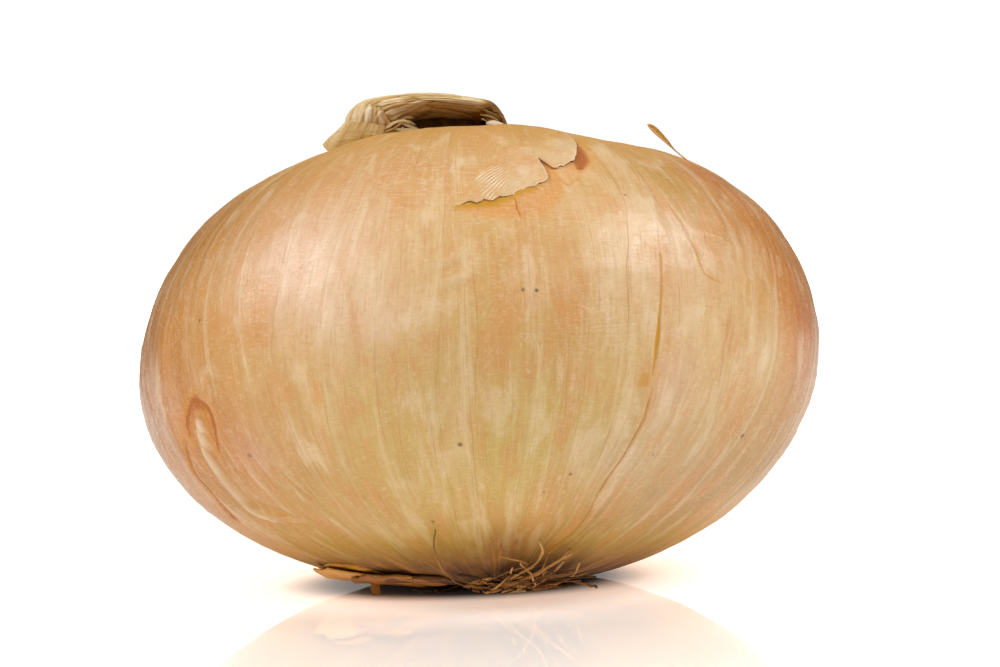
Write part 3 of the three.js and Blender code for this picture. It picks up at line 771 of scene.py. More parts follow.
def bulb_skin():
    columns = skin_columns()
    n = len(columns)
    share = np.linspace(0, 1, ROWS)
    ends = 0.5 * (1 - np.cos(np.pi * share))
    theta_rows = 0.35 * ends + 0.65 * share
    theta_rows = np.radians(FIRST_ROW + (180 - 2 * FIRST_ROW) * theta_rows)
    theta = np.repeat(theta_rows, n)
    u = np.tile(columns, ROWS)
    phi = follow_veins(u, theta)
    plain = on_skin(theta, phi)
    theta_deg, phi_deg = np.degrees(theta), np.degrees(phi)
    phi_deg = (phi_deg + 180) % 360 - 180

    radius = HALF_WIDTH * girth_share(theta)
    angle, vein = nearest_vein(u)
    vein_mm = angle * radius
    sides = np.sin(theta)
    v = np.repeat(length_along(on_skin(theta_rows, 0 * theta_rows)), n)
    streak = on_cylinder(u, HALF_WIDTH, v)

    # low relief, in millimetres over the plain skin
    height = -dish(theta) - SKIN_UNDER_CAD
    height += (0.06 + 0.1 * VEIN_PALE[vein]) * hump(vein_mm, 0.75) * sides
    height -= 0.1 * VEIN_DARK[vein] * hump(vein_mm, 0.2) * sides
    height += 0.12 * noise(streak * [0.16, 0.16, 0.035], 3) * sides
    height += 0.05 * noise(streak * [0.55, 0.55, 0.09], 4) * sides
    height += broad_relief(plain, sides) + 0.035 * noise(plain * 0.7, 7)
    # the skin climbs towards the neck and sinks a little on its right
    height += 0.75 * smooth(radius, 17, 10) * (theta_deg < 90)
    height += spots(theta_deg, phi_deg, SHOULDER_SWELLS + OUTLINE_DENTS)

    # soft folds where the dry skin has crept: slanted at the middle, level at the upper left
    def near_to(*rows):
        return spots(theta_deg, phi_deg, rows)

    slants = np.sin((theta_deg + 0.9 * phi_deg) * 1.1 + 2 * noise(plain * 0.15, 8))
    slants = slants * near_to((1, 78, -3, 7, 3.6))
    level = np.maximum(noise(streak * [0.14, 0.14, 0.95], 12), 0) ** 1.5
    level = level * near_to((1, 46, -14, 14, 15), (0.7, 86, 24, 12, 14))
    right = np.sin((theta_deg - 0.6 * phi_deg) * 0.8 + 4 * noise(plain * 0.12, 9))
    right = right * near_to((1, 67, 44, 6, 6), (0.6, 80, 50, 9, 6))
    height += 0.16 * (slants + level + right)
    # the skin is lightly crumpled all over: ridges of warped noise
    warp = stack(*[2.2 * noise(plain * 0.13, 13 + k) for k in range(3)])
    crumple = np.maximum(1 - np.abs(noise(plain * 0.17 + warp, 16)) * 3, 0) ** 2
    height += 0.1 * crumple * sides * smooth(noise(plain * 0.07, 17), -0.3, 0.4)

    # marks: a stain, the golden split and the painted golden shadow under the flake, and pale patches,
    # each 0 to 1
    stain, gold = np.zeros(len(theta)), np.zeros(len(theta))
    # the slanted folds are paler along their crests
    pale = 0.35 * np.maximum(slants, 0)
    layers = {"height": height, "stain": stain}

    def trace(pairs, reach):
        """Which points are near a route, their distance and share along it, and signed distance."""
        path = skin_path(pairs)
        low, high = path.min(0) - reach, path.max(0) + reach
        near = np.nonzero(((plain > low) & (plain < high)).all(1))[0]
        return near, *distance_to_path(plain[near], path)

    def at_least(layer, near, values):
        layer[near] = np.maximum(layer[near], values)

    for route, layer, amount, width, middle, fade in STROKES:
        near, gap, along, _ = trace(route, STROKE_REACH)
        layers[layer][near] += amount * hump(gap, width, middle) * (1 - fade * along)

    near, gap, along, _ = trace(SPLIT_ROUTE, 3)
    width = 0.04 + 0.22 * hump(along, 0.2, 0.66)
    height[near] += 0.06 * hump(gap, 0.3, 0.6) * along - 0.12 * smooth(gap, width + 0.12, width)
    at_least(gold, near, smooth(gap, width + 0.16, width - 0.06))

    near, gap, along, _ = trace(CRACK_ROUTE, 3)
    width = 0.05 + 0.05 * along + 0.3 * smooth(along, 0.75, 1)
    height[near] -= 0.18 * smooth(gap, width + 0.2, width)
    stain[near] += 0.4 * smooth(gap, width + 0.22, width - 0.02) * smooth(along, 0.6, 0.9)
    stain[near] += 0.14 * smooth(gap, 0.9, 0.2)

    near, gap, along, _ = trace(SCAR_ROUTE, 5)
    body = smooth(along, 0, 0.12)
    height[near] += (0.7 * hump(gap, 0.8) - 0.25 * hump(gap, 0.6, 1.8)) * body
    whitish = 1.25 * hump(gap, 0.62 - 0.22 * along, power=4) * body
    at_least(pale, near, whitish * (1 - 0.3 * along))
    stain[near] += 0.34 * hump(gap, 0.7, 1.6) * (1 - 0.7 * along)
    near, gap, along, _ = trace(SCAR_GROOVE_ROUTE, 4)
    stain[near] += (0.45 + 0.45 * along**3) * hump(gap, 0.42 + 0.55 * along**3)
    near, gap, along, _ = trace(SCAR_TAIL_ROUTE, 4)
    at_least(pale, near, 0.6 * hump(gap, 0.5) * (1 - 0.6 * along))

    for dark, route in SKIN_CRACKS:
        near, gap, _, _ = trace(route, 2)
        height[near] += 0.07 * hump(gap, 0.3, 0.5) - 0.1 * smooth(gap, 0.35, 0.05)
        stain[near] += dark * smooth(gap, 0.26, 0.03)

    # thin lines: the skin's material draws them from the signed distance, sharper than the mesh
    hair_gap, hair_share = np.full(len(theta), 9.0), np.zeros(len(theta))
    hair_half = np.full(len(theta), 0.1)
    for half, strength, route in HAIRLINES:
        near, gap, along, signed = trace(route, 2)
        share = strength * smooth(gap, 1.5, 0.8) * smooth(along, 0, 0.06) * smooth(along, 1, 0.85)
        wins = share > hair_share[near]
        won = near[wins]
        hair_gap[won], hair_share[won], hair_half[won] = signed[wins], share[wins], half

    # the older layer laid bare under the flake lies a little lower
    depth = inside_outline(phi_deg, theta_deg, BARE_PATCH)
    bare = smooth(depth, -0.25, 0.5)
    height -= 0.14 * bare
    rim = hump(depth, 0.5, -0.1) * (theta_deg > 50)
    # the painted golden shadow that the flake's lifted torn edge casts on the skin
    near, gap, along, _ = trace(FLAKE_SHADE_ROUTE, 3)
    reach = 0.4 + 0.62 * np.sin(np.pi * np.clip(along * 1.2, 0, 1) ** 0.8)
    at_least(gold, near, 0.95 * smooth(gap, reach, 0.45 * reach) * smooth(along, 1.0, 0.8))
    near, gap, along, _ = trace(FLAKE_CRACK_ROUTE, 2)
    height[near] -= 0.1 * smooth(gap, 0.3, 0.05)
    stain[near] += 0.55 * smooth(gap, 0.22, 0.03) * (1 - 0.4 * along)
    wedge = inside_outline(phi_deg, theta_deg, [(13, 41), (14.4, 51.5), (15.6, 47), (15, 41)])
    stain += 0.42 * smooth(wedge, -0.3, 0.4) + 0.22 * rim + 0.12 * bare
    # the small chip where the split ends
    gold = np.maximum(gold, near_to((0.45, 103.2, 27.0, 1.9, 1.2)))

    points = plain + unit(on_skin(theta, phi, 1.0) - plain) * height[:, None]
    points[:, 2] = np.maximum(points[:, 2], 0)
    neck_pole = on_skin(0.0, 0.0, -CRATER_DEPTH)
    root_pole = on_skin(math.pi, 0.0, -HOLLOW_DEPTH)
    points = np.vstack([points, neck_pole, root_pole])

    # faces and their map; the last two points close the two ends
    top, bottom, last_row = len(points) - 2, len(points) - 1, (ROWS - 1) * n
    map_x = (np.append(columns, columns[0] + 2 * np.pi) + np.pi) / (2 * np.pi)
    map_y = 1 - theta_rows / np.pi
    faces, uv = [], []
    for i, k in np.ndindex(ROWS - 1, n):
        here, there = i * n + k, i * n + (k + 1) % n
        faces.append((here, here + n, there + n, there))
        uv += [(map_x[k], map_y[i]), (map_x[k], map_y[i + 1])]
        uv += [(map_x[k + 1], map_y[i + 1]), (map_x[k + 1], map_y[i])]
    for k in range(n):
        left, right = map_x[k], map_x[k + 1]
        beside = (k + 1) % n
        faces += [(top, k, beside), (bottom, last_row + beside, last_row + k)]
        uv += [((left + right) / 2, 1), (left, map_y[0]), (right, map_y[0])]
        uv += [((left + right) / 2, 0), (right, map_y[-1]), (left, map_y[-1])]
    maps = ("skin", "OFBake")
    skin = make_piece("bulb_skin", points, faces, uv, ("bulb",), maps)

    tint = skin_tint(theta_deg, phi_deg)
    tint = tint + (paint(*BARE_SKIN) - tint) * 0.8 * bare[:, None]
    fade = VEIN_TINGE * smooth(theta_deg, 20, 34) * smooth(theta_deg, 170, 150)
    values = {
        "tint": opaque(np.clip(tint, 0, 1)),
        "streak": streak,
        "plain": plain,
        "rooty": smooth(theta_deg, 134, 154),
        "vein": np.abs(vein_mm),
        "vein_dark": fade,
        "vein_pale": fade,
        "stain": np.clip(stain, 0, 1),
        "gold": gold,
        "hair_gap": hair_gap,
        "hair_share": hair_share,
        "hair_half": hair_half,
        "pale": pale,
        "girth": radius,
        "wrinkled": np.clip(spots(theta_deg, phi_deg, WRINKLES), 0, 1),
    }
    give(skin, **{name: np.concatenate([row, row[:1], row[-1:]]) for name, row in values.items()})
    return skin


# The red-brown bruise by the flake: a route, and its half width in millimetres along it.
BRUISE_ROUTE = [(46.2, 21.3), (44.6, 21.8), (42.4, 22.8), (39.5, 23.4), (36, 24), (30, 25.6)]
BRUISE_HALF = [0.42, 0.66, 0.84, 0.8, 0.62, 0.4]
# Small dark dots on the skin: theta, phi, radius in millimetres, darkness.
DOTS = [
    (82.2, 7, 0.3, 0.65),
    (82.5, 9.1, 0.28, 0.85),
    (117.8, -4, 0.34, 0.8),
    (82.8, -50.5, 0.28, 0.7),
    (56, 27.5, 0.22, 0.7),
    (139, -13.2, 0.3, 0.6),
    (126.3, 16.8, 0.28, 0.6),
    (115.2, 54.2, 0.4, 0.9),
    (116.8, -45.2, 0.42, 0.45),
    (131, 12, 0.22, 0.5),
    (121, 33, 0.2, 0.5),
]

# Scene-linear colours of the skin's streaks and marks; the gold also serves as the painted golden
# shadow under the flake.
ORANGE, STRAW = (0.62, 0.26, 0.07), (0.72, 0.5, 0.25)
BROWN, CREAM = (0.42, 0.175, 0.045), (0.86, 0.66, 0.44)
VEIN_BAND, VEIN_LINE = (0.84, 0.66, 0.42), (0.34, 0.125, 0.02)
LANE_GLOW, LANE_LINE = (0.88, 0.72, 0.5), (0.44, 0.16, 0.04)
CRINKLE, WRINKLE, SCUFF = (0.93, 0.72, 0.5), (0.93, 0.74, 0.54), (0.76, 0.6, 0.4)
FAINT_STAIN, DEEP_STAIN = (0.64, 0.25, 0.0), (0.4, 0.098, 0.0)
GOLD_AND_FLAKE_SHADOW, DOT = (0.54, 0.235, 0.006), (0.12, 0.06, 0.03)
# the flake's painted highlight on its crease crests, painted shade in its furrows and painted
# highlight along its torn edge
FLAKE_CREST_HIGHLIGHT, FLAKE_FURROW_SHADE, FLAKE_EDGE_HIGHLIGHT = (0.92, 0.74, 0.52), (0.6, 0.29, 0.085), (0.93, 0.74, 0.5)
SKIN_FILTER = (0.89, 0.94, 0.98)  # takes a little red out of the finished colour
ROOT_END_FILTER = (0.74, 0.76, 0.36)
LANES = 118  # lanes round the bulb, each with a fine line of its own
BRUISE_STEPS = 16


def skin_material(name="onion skin", flake=False):
    g = new_graph(name)
    streak = g.attribute("streak", "Vector")
    girth = g.attribute("girth")

    def streaks(across, along, *settings):
        """Noise drawn out over the skin: how fine it is round the bulb, and from neck to roots."""
        return g.noise(g.scaled(streak, (across, across, along)), 1.0, *settings)

    def tinge(colour, value, share, other):
        return g.mix(g.times(value, share), colour, other)

    # clouds of warmer and paler skin, then streaks that run from neck to roots
    broad = streaks(0.1, 0.055, 4.0, 0.62, 0.4)
    blotch = streaks(0.28, 0.13, 3.0, 0.5, 0.5)
    bands = streaks(0.33, 0.02)
    narrow = streaks(1.25, 0.07, 3.0, 0.6)
    fine = streaks(4.2, 0.3, 2.0, 0.6)
    # short level threads crossing them, which give the skin its woven look
    threads = streaks(0.9, 3.8, 2.0, 0.6)
    mottle = g.noise(g.place(1 / MM), 1.5, 3.0, 0.7)

    # the pale streaks fade out towards the dark root end and the neck
    open_skin = g.remap(girth, 16, 36, 0.1, 1.0)
    tint = g.attribute("tint", "Color")
    colour = g.mix(g.remap(broad, 0.48, 0.7, 0, 0.42), tint, ORANGE)
    colour = g.mix(g.remap(broad, 0.46, 0.28, 0, 0.3), colour, STRAW)
    # where each noise is high it darkens the skin, and where it is low it pales it
    for value, dark_from, dark_to, dark_share, dark, pale_from, pale_to, pale_share in (
        (blotch, 0.52, 0.68, 0.5, ORANGE, 0.48, 0.3, 0.3),
        (bands, 0.54, 0.7, 0.18, ORANGE, 0.44, 0.3, 0.15),
        (narrow, 0.54, 0.76, 0.24, BROWN, 0.46, 0.26, 0.18),
        (fine, 0.53, 0.72, 0.22, BROWN, 0.45, 0.28, 0.1),
        (threads, 0.53, 0.72, 0.18, BROWN, 0.45, 0.28, 0.11),
        (mottle, 0.55, 0.72, 0.36, ORANGE, 0.42, 0.28, 0.22),
    ):
        colour = g.mix(g.remap(value, dark_from, dark_to, 0, dark_share), colour, dark)
        paled = g.times(g.remap(value, pale_from, pale_to, 0, pale_share), open_skin)
        colour = g.mix(paled, colour, CREAM)
    # a net of faint creases where the skin is lightly crumpled
    net = g.math("ABSOLUTE", g.off_middle(streaks(0.3, 0.22, 4.0, 0.6, 1.4)))
    crinkle = g.times(g.remap(net, 0.022, 0.003), g.remap(broad, 0.35, 0.6), open_skin)
    colour = tinge(colour, crinkle, 0.13, CRINKLE)

    height = g.times(fine, 0.45)
    for value, share in ((threads, 0.4), (narrow, 0.5), (mottle, 0.25)):
        height = g.add_part(value, share, height)

    if flake:
        # fine creases fan over the flake, with a painted highlight on their crests and painted golden
        # shade in between
        creases = g.attribute("creases")
        colour = g.mix(g.remap(creases, 0.2, 0.9, 0, 0.6), colour, FLAKE_CREST_HIGHLIGHT)
        colour = g.mix(g.remap(creases, -0.2, -0.9, 0, 0.55), colour, FLAKE_FURROW_SHADE)
        # a painted highlight along the torn edge
        colour = tinge(colour, g.attribute("edge"), 0.35, FLAKE_EDGE_HIGHLIGHT)
        colour = g.mix(1.0, colour, SKIN_FILTER, "MULTIPLY")
        return g.surface(colour, 0.5, g.add_part(creases, 0.4, height), distance=0.0001)

    # a vein: a pale band, and a thin brown line down its middle that comes and goes
    vein = g.attribute("vein")
    wander = streaks(0.8, 0.1)
    band = g.times(g.remap(vein, 0.95, 0.15), g.attribute("vein_pale"))
    band = g.times(band, g.remap(blotch, 0.62, 0.36, 0.25, 1.0), open_skin)
    colour = tinge(colour, band, 0.46, VEIN_BAND)
    line = g.times(g.remap(vein, 0.11, 0.03), g.attribute("vein_dark"))
    line = g.times(line, g.remap(wander, 0.4, 0.6, 0.05, 1.0))
    colour = tinge(colour, line, 0.74, VEIN_LINE)

    # finer lines between the veins, each with its own place and strength
    across = g.node("SeparateXYZ", g.uv("skin")).outputs[0]
    lanes = g.add_part(across, float(LANES), g.times(streaks(0.22, 0.06), 1.2))
    pick = g.node("TexWhiteNoise", noise_dimensions="1D")
    g.fill(pick, W=g.math("FLOOR", lanes))
    offset = g.math("SUBTRACT", g.math("FRACT", lanes), g.remap(pick.outputs[0], 0, 1, 0.3, 0.7))
    gap = g.times(g.math("ABSOLUTE", offset), g.times(girth, 2 * math.pi / LANES))
    picked = g.node("SeparateColor", pick.outputs["Color"]).outputs
    along = streaks(0.6, 0.075)
    hair = g.times(g.remap(gap, 0.1, 0.03), g.remap(g.add_part(picked[1], 0.3, along), 0.66, 0.84))
    colour = tinge(colour, hair, 0.38, LANE_LINE)
    glow = g.times(g.remap(gap, 0.6, 0.1), g.remap(picked[0], 0.6, 0.95))
    glow = g.times(glow, g.times(g.remap(along, 0.4, 0.6), open_skin))
    colour = tinge(colour, glow, 0.2, LANE_GLOW)

    # level wrinkles catch the light where the skin has crept
    level = g.math("ABSOLUTE", g.off_middle(streaks(0.16, 0.95, 3.0, 0.65, 0.6)))
    crease = g.times(g.remap(level, 0.022, 0.004), g.attribute("wrinkled"))
    colour = tinge(colour, crease, 0.28, WRINKLE)

    # marks: pale patches, stains, thin lines, the bruise by the flake, the golden split and the
    # painted golden shadow under the flake, and dots
    scuff = g.math("MINIMUM", g.attribute("pale"), 1.0)
    colour = tinge(colour, scuff, 0.78, SCUFF)
    stain = g.times(g.attribute("stain"), g.remap(mottle, 0.3, 0.62, 0.6, 1.15))
    ragged = g.times(g.off_middle(mottle), 0.55)
    hairs_away = g.math("ABSOLUTE", g.math("ADD", g.attribute("hair_gap"), ragged))
    hairs_away = g.math("DIVIDE", hairs_away, g.attribute("hair_half"))
    thin = g.times(g.remap(hairs_away, 1.5, 0.6), g.attribute("hair_share"))
    plain = g.attribute("plain", "Vector")
    steps = np.linspace(0, 1, BRUISE_STEPS)
    reaches = np.interp(steps, np.linspace(0, 1, len(BRUISE_HALF)), BRUISE_HALF)
    bruise = 9.0
    for centre, reach in zip(skin_path(BRUISE_ROUTE, BRUISE_STEPS), reaches):
        apart = g.math("DIVIDE", g.distance(plain, centre), float(reach))
        bruise = g.math("MINIMUM", bruise, apart)
    bruise = g.remap(g.add_part(ragged, 1.8, bruise), 2.3, 0.5)
    stain = g.math("MAXIMUM", g.math("MAXIMUM", stain, thin), bruise)
    stain = g.math("MINIMUM", stain, 1.0)
    stained = g.mix(g.remap(stain, 0.15, 0.85), FAINT_STAIN, DEEP_STAIN)
    colour = g.mix(stain, colour, stained)
    colour = g.mix(g.attribute("gold"), colour, GOLD_AND_FLAKE_SHADOW)
    for theta, phi, reach, darkness in DOTS:
        away = g.distance(plain, on_skin(math.radians(theta), math.radians(phi)))
        dot = g.remap(away, reach * 1.25, reach * 0.4, 0, darkness)
        colour = g.mix(dot, colour, DOT)

    colour = g.mix(1.0, colour, SKIN_FILTER, "MULTIPLY")
    # towards the roots the skin turns a darker golden brown
    golden = g.mix(1.0, colour, ROOT_END_FILTER, "MULTIPLY")
    colour = g.mix(g.attribute("rooty"), colour, golden)
    for value, share in ((crease, 0.3), (crinkle, 0.35), (hair, -0.35), (line, -0.5)):
        height = g.add_part(value, share, height)
    rough = g.remap(threads, 0.3, 0.7, 0.32, 0.42)
    rough = g.add_part(g.attribute("stain"), 0.15, rough)
    rough = g.math("ADD", rough, g.remap(girth, 38, 22, 0, 0.35))
    return g.surface(colour, rough, height, distance=0.0001, ior=1.42)


# ------------------------------------------------------------------ the dried neck

# The fold's stations as in the CAD, a little lower at the left: under edge and outer edge, each as
# (x, height over the crown), then y of the middle and half depth.
NECK_FOLD = [
    ((1.6, -0.8), (4.6, -0.8), -0.5, 3),
    ((2.2, 1.2), (5, 1.4), -1.5, 3.4),
    ((2.6, 2.4), (4.6, 3.1), -2.5, 3.8),
    ((1.9, 2.9), (3.3, 4.9), -3.2, 4.2),
    ((0.2, 3.2), (1.3, 5.6), -3.6, 4.5),
    ((-3.9, 3.6), (-4, 6.3), -4, 4.7),
    ((-7.2, 3.4), (-8.8, 6.4), -4.2, 4.7),
    ((-8.6, 2.9), (-12.1, 6.1), -4.6, 4.6),
    ((-9.2, 2.3), (-14.5, 5.6), -5, 4.3),
    ((-9.5, 1.7), (-16.3, 4.2), -5.4, 3.6),
    ((-9.8, 1.1), (-17.4, 1.9), -5.8, 2.7),
    ((-10.4, 0.3), (-19.9, -0.1), -6, 3.3),
]
# The stump's stations: x, y and height over the crown, half width and half depth.
NECK_STUMP = [
    (-0.3, 0.2, -1.2, 4.2, 4.1),
    (-1.6, 1, 0.6, 4.8, 3.8),
    (-3.3, 1.4, 2.2, 5.9, 3.2),
    (-3.6, 1.2, 4, 5.2, 2.6),
    (-3.4, 0.2, 5.2, 3.4, 1.6),
]


def fold_relief(points, front):
    """Relief in millimetres and tone that the pleats give the sheath, drawn along NECK_PLEATS; the
    tone is darker towards each pleat's sides and in the groove round it, which is painted shade.
    """
    rng = np.random.default_rng(5)
    relief, tone = np.zeros(len(points)), np.full(len(points), -1.0)
    for half, shade, route in NECK_PLEATS:
        shift = rng.uniform(-0.35, 0.35, (len(route), 3))
        for facing, nudge in ((front, 0), (~front, shift)):
            path = curve_through(np.array(route, float) + nudge, 24)
            gap, along, _ = distance_to_path(points * [1, 0, 1], path * [1, 0, 1])
            wide = half * 1.25 * np.minimum(1, 0.35 + 4 * np.minimum(along, 1 - along))
            inside = smooth(gap, 1.08 * wide, 0.86 * wide) * facing
            crown = np.sqrt(np.clip(1 - (gap / (1.1 * wide)) ** 2, 0, 1))
            relief = relief * (1 - inside) + (0.03 + 0.34 * half * crown) * inside
            groove = hump(gap, 0.12, 1.08 * wide) * facing
            relief = relief - 0.05 * groove
            # painted shade: darker towards the pleat's sides and in its groove
            tone = np.where(inside > 0.5, shade - 0.2 * (1 - crown), tone)
            tone = tone - 0.16 * groove * (tone > 0)
    return relief, np.where(tone > -0.9, np.maximum(tone, 0), -1)


def neck_sheath():
    bundle = Bundle()
    depthways = lean(np.array([0.0, 1, 0])) - BULB_MIDDLE
    widthways = np.array([1.0, 0, 0])
    sides, steps = 230, 150

    table = []
    for under, outer, y, half_depth in NECK_FOLD:
        inner = in_bulb(under[0], y, CROWN_HEIGHT + under[1])
        far = in_bulb(outer[0], y, CROWN_HEIGHT + outer[1])
        table.append(np.concatenate([(inner + far) / 2, (far - inner) / 2, [half_depth]]))
    table = curve_through(table, steps)
    middle, across, deep = table[:, :3], table[:, 3:6], depthways * table[:, 6:]
    t = np.linspace(0, 1, steps)[:, None]
    a = round_angles(sides)[None, :]
    ring_place = on_cylinder(a, 2.2, t * 1.6)
    swell = 0.035 * noise(ring_place * [3, 3, 2], 21) + 0.02 * noise(ring_place * 8, 22)
    swell = 1 + swell + 0.012 * np.cos(31 * a + 3 * np.sin(2 * t * np.pi) + 1)
    rings = oval_rings(middle, across, deep, a, swell)
    outward = unit(rings - middle[:, None, :])
    front = outward.reshape(-1, 3)[:, 1] < 0.15
    relief, drawn = (v.reshape(steps, sides) for v in fold_relief(rings.reshape(-1, 3), front))
    # the hem is a plain rolled band
    hem = smooth(t, 0.868, 0.885)
    roll = np.sin(np.pi * np.clip((t - 0.868) / 0.132, 0, 1))
    relief = relief * (1 - hem) + hem * 0.42 * roll - 0.12 * hump(t, 0.006, 0.873)
    rings = rings + outward * relief[..., None]
    # in front the hem reaches down to the skin, so that its open end stays out of sight
    rings[..., 2] -= 1.5 * smooth(t, 0.88, 1.0) * smooth(-np.sin(a), -0.1, 0.7)

    tone = 0.6 + 0.8 * (swell - 1) + 0.1 * noise(ring_place * [2, 2, 3], 23)
    tone = tone + 0.1 * noise(on_cylinder(a, 16, t * 3), 26)
    # lighter along the fold's outer edge: a painted highlight
    tone = tone + 0.22 * smooth(np.cos(a), 0.55, 0.95)
    # the face on the right is brown where the outer layers have worn off
    worn = smooth(t, 0.52, 0.36) * smooth(t, 0.1, 0.2) * smooth(np.cos(a), 0.8, 0.35)
    # the under side is darker away from the hem: painted shade
    tone = tone - 0.06 * worn - 0.12 * smooth(np.cos(a), -0.35, -0.9) * smooth(t, 0.75, 0.5)
    tone = np.where(drawn >= 0, drawn, tone)
    streaks = noise(on_cylinder(a, 13, t * 9), 27)
    tone = tone + 0.16 * worn * streaks
    # the hem darkens towards its lower end, a painted shade, and is lighter along its outer edge, a
    # painted highlight
    band = 0.58 - 0.16 * smooth(t, 0.92, 0.98) + 0.05 * noise(ring_place * [6, 6, 2], 25)
    band = band + 0.22 * smooth(np.cos(a), 0.6, 1.0)
    tone = tone * (1 - hem) + band * hem
    # the broken right end is an olive brown knot
    knot = smooth(t, 0.35, 0.27) * smooth(t, 0.08, 0.14)
    tone = tone - 0.85 * knot * (tone - 0.16)

    # the open end turns inwards and darkens inside: painted shade
    inward = unit(middle[-12] - middle[-1])
    lip, lip_middle = rings[-1], middle[-1]
    mouth = []
    for share, depth in ((0.9, 0.0), (0.78, 0.3), (0.55, 1.4)):
        mouth.append(lip_middle + (lip - lip_middle) * share + inward * depth)
    rings = np.concatenate([rings, np.array(mouth)])
    tone = np.concatenate([tone, tone[-3:] * [[1.0], [0.8], [0.5]]])
    points, faces, uv = closed_loft(rings)
    # along the hem the fibres run round it instead
    uv = np.array(uv)
    turned = uv[:, 1] > 0.865 * uv[:, 1].max()
    uv[turned] = uv[turned][:, ::-1]
    tones = np.concatenate([tone[:1].mean(1), tone.ravel(), [0]])
    bundle.add(points, faces, uv, np.clip(tones, 0, 1))

    # the stump that the fold springs from; its front is darker, with painted shade under the
    # overhanging fold
    table = curve_through(NECK_STUMP, 30)
    t = np.linspace(0, 1, 30)[:, None]
    a = round_angles(150)[None, :]
    pleat = 0.02 * np.cos(13 * a + 2 * t)
    pleat = pleat + 0.03 * noise(on_cylinder(a, 5, t * 2), 24)
    centres = in_bulb(table[:, 0], table[:, 1], CROWN_HEIGHT + table[:, 2])
    rings = oval_rings(centres, widthways * table[:, 3:4], depthways * table[:, 4:], a, 1 + pleat)
    tone = 0.34 + pleat - 0.14 * smooth(-np.sin(a), 0.0, 0.4)
    tones = np.concatenate([tone[:1].mean(1), tone.ravel(), tone[-1:].mean(1)])
    bundle.add(*closed_loft(rings), np.clip(tones, 0, 1))
    return bundle.piece("neck_sheath", "dried_neck", ("neck",))


# Pleats pressed into the sheath: half width, tone (0 dark brown to 1 pale straw) and a route.
NECK_PLEATS = [
    (0.3, 0.66, [(-17, -6, 62.4), (-17.6, -6, 61.6), (-18, -6, 60.9)]),
    (0.36, 0.78, [(-15.8, -5.4, 64), (-16.3, -5.8, 63), (-16.9, -6.1, 61.8), (-17.2, -6.4, 60.9)]),
    (0.4, 0.92, [(-15, -5.6, 64.3), (-15.3, -6, 63.2), (-15.8, -6.6, 61.9), (-16.1, -7.1, 60.9)]),
    (0.4, 0.8, [(-14.2, -5.6, 64.8), (-14.5, -6.3, 63.8), (-14.8, -6.8, 62.2), (-15.1, -7.1, 60.9)]),
    (0.42, 0.97, [(-13.4, -6.3, 64.6), (-13.6, -6.9, 63.3), (-13.9, -6.9, 61.9), (-14.2, -7, 60.9)]),
    (0.34, 0.7, [(-12.6, -6.8, 64.5), (-12.6, -7, 63.4), (-12.9, -7, 61.9), (-13.2, -7, 60.8)]),
    (0.4, 0.9, [(-12.2, -6.9, 64.2), (-11.9, -7.1, 63.1), (-11.9, -6.9, 61.7), (-12, -6.4, 60.8)]),
    (0.36, 0.72, [(-11.8, -6.8, 63.9), (-11.1, -6.8, 62.6), (-10.8, -6.3, 61.4), (-10.7, -5.4, 60.8)]),
    (0.3, 0.56, [(-11.5, -6.7, 64), (-10.5, -6.6, 62.6), (-10, -6, 61.6), (-9.6, -5.2, 60.9)]),
    (0.4, 0.88, [(-12.3, -6.8, 64.6), (-10.5, -6.5, 64.9), (-8.4, -6.3, 65.3), (-6.6, -6, 65.5)]),
    (0.36, 0.62, [(-11.8, -6.6, 64.1), (-9.7, -6.5, 64.3), (-7.6, -6.2, 64.9), (-5.3, -6.2, 65.3)]),
    (0.38, 0.94, [(-11.3, -6.6, 63.5), (-9.7, -6.4, 63.7), (-8, -6.2, 64.3), (-5.8, -6.1, 65)]),
    (0.34, 0.7, [(-10.8, -6.2, 62.6), (-8.9, -5.6, 63.3), (-7.2, -5.7, 64.1), (-5.4, -5.9, 64.8)]),
    (0.34, 0.6, [(-10.4, -5.8, 62.1), (-8.5, -5.1, 62.9), (-6.4, -5.5, 63.8), (-4.8, -5.9, 64.4)]),
    (0.3, 0.58, [(-5.4, -4.5, 63.4), (-3.8, -4.3, 63.6), (-1.8, -3.4, 63.2), (0.4, -2.6, 62.6)]),
    (0.46, 0.54, [(-5.6, -5.9, 64.5), (-3.3, -5.9, 64.5), (-1.3, -5.6, 64), (1.3, -4.7, 63.4)]),
    (0.24, 0.62, [(-6.6, -4.9, 62.9), (-4.6, -4.9, 63.2), (-2.4, -4.5, 62.9), (-0.4, -4, 62.4)]
        + [(1.4, -4, 62)]),
    (0.44, 0.86, [(-8, -5.3, 65.8), (-5.3, -5.8, 65.5), (-2.3, -6, 65.1), (0.2, -5.6, 64.7)]
        + [(2, -4.4, 64.4)]),
    (0.3, 0.7, [(-9.6, -5.4, 65.7), (-7.2, -5.3, 65.9), (-4.3, -5.2, 65.8), (-1.3, -5, 65.4)]),
]
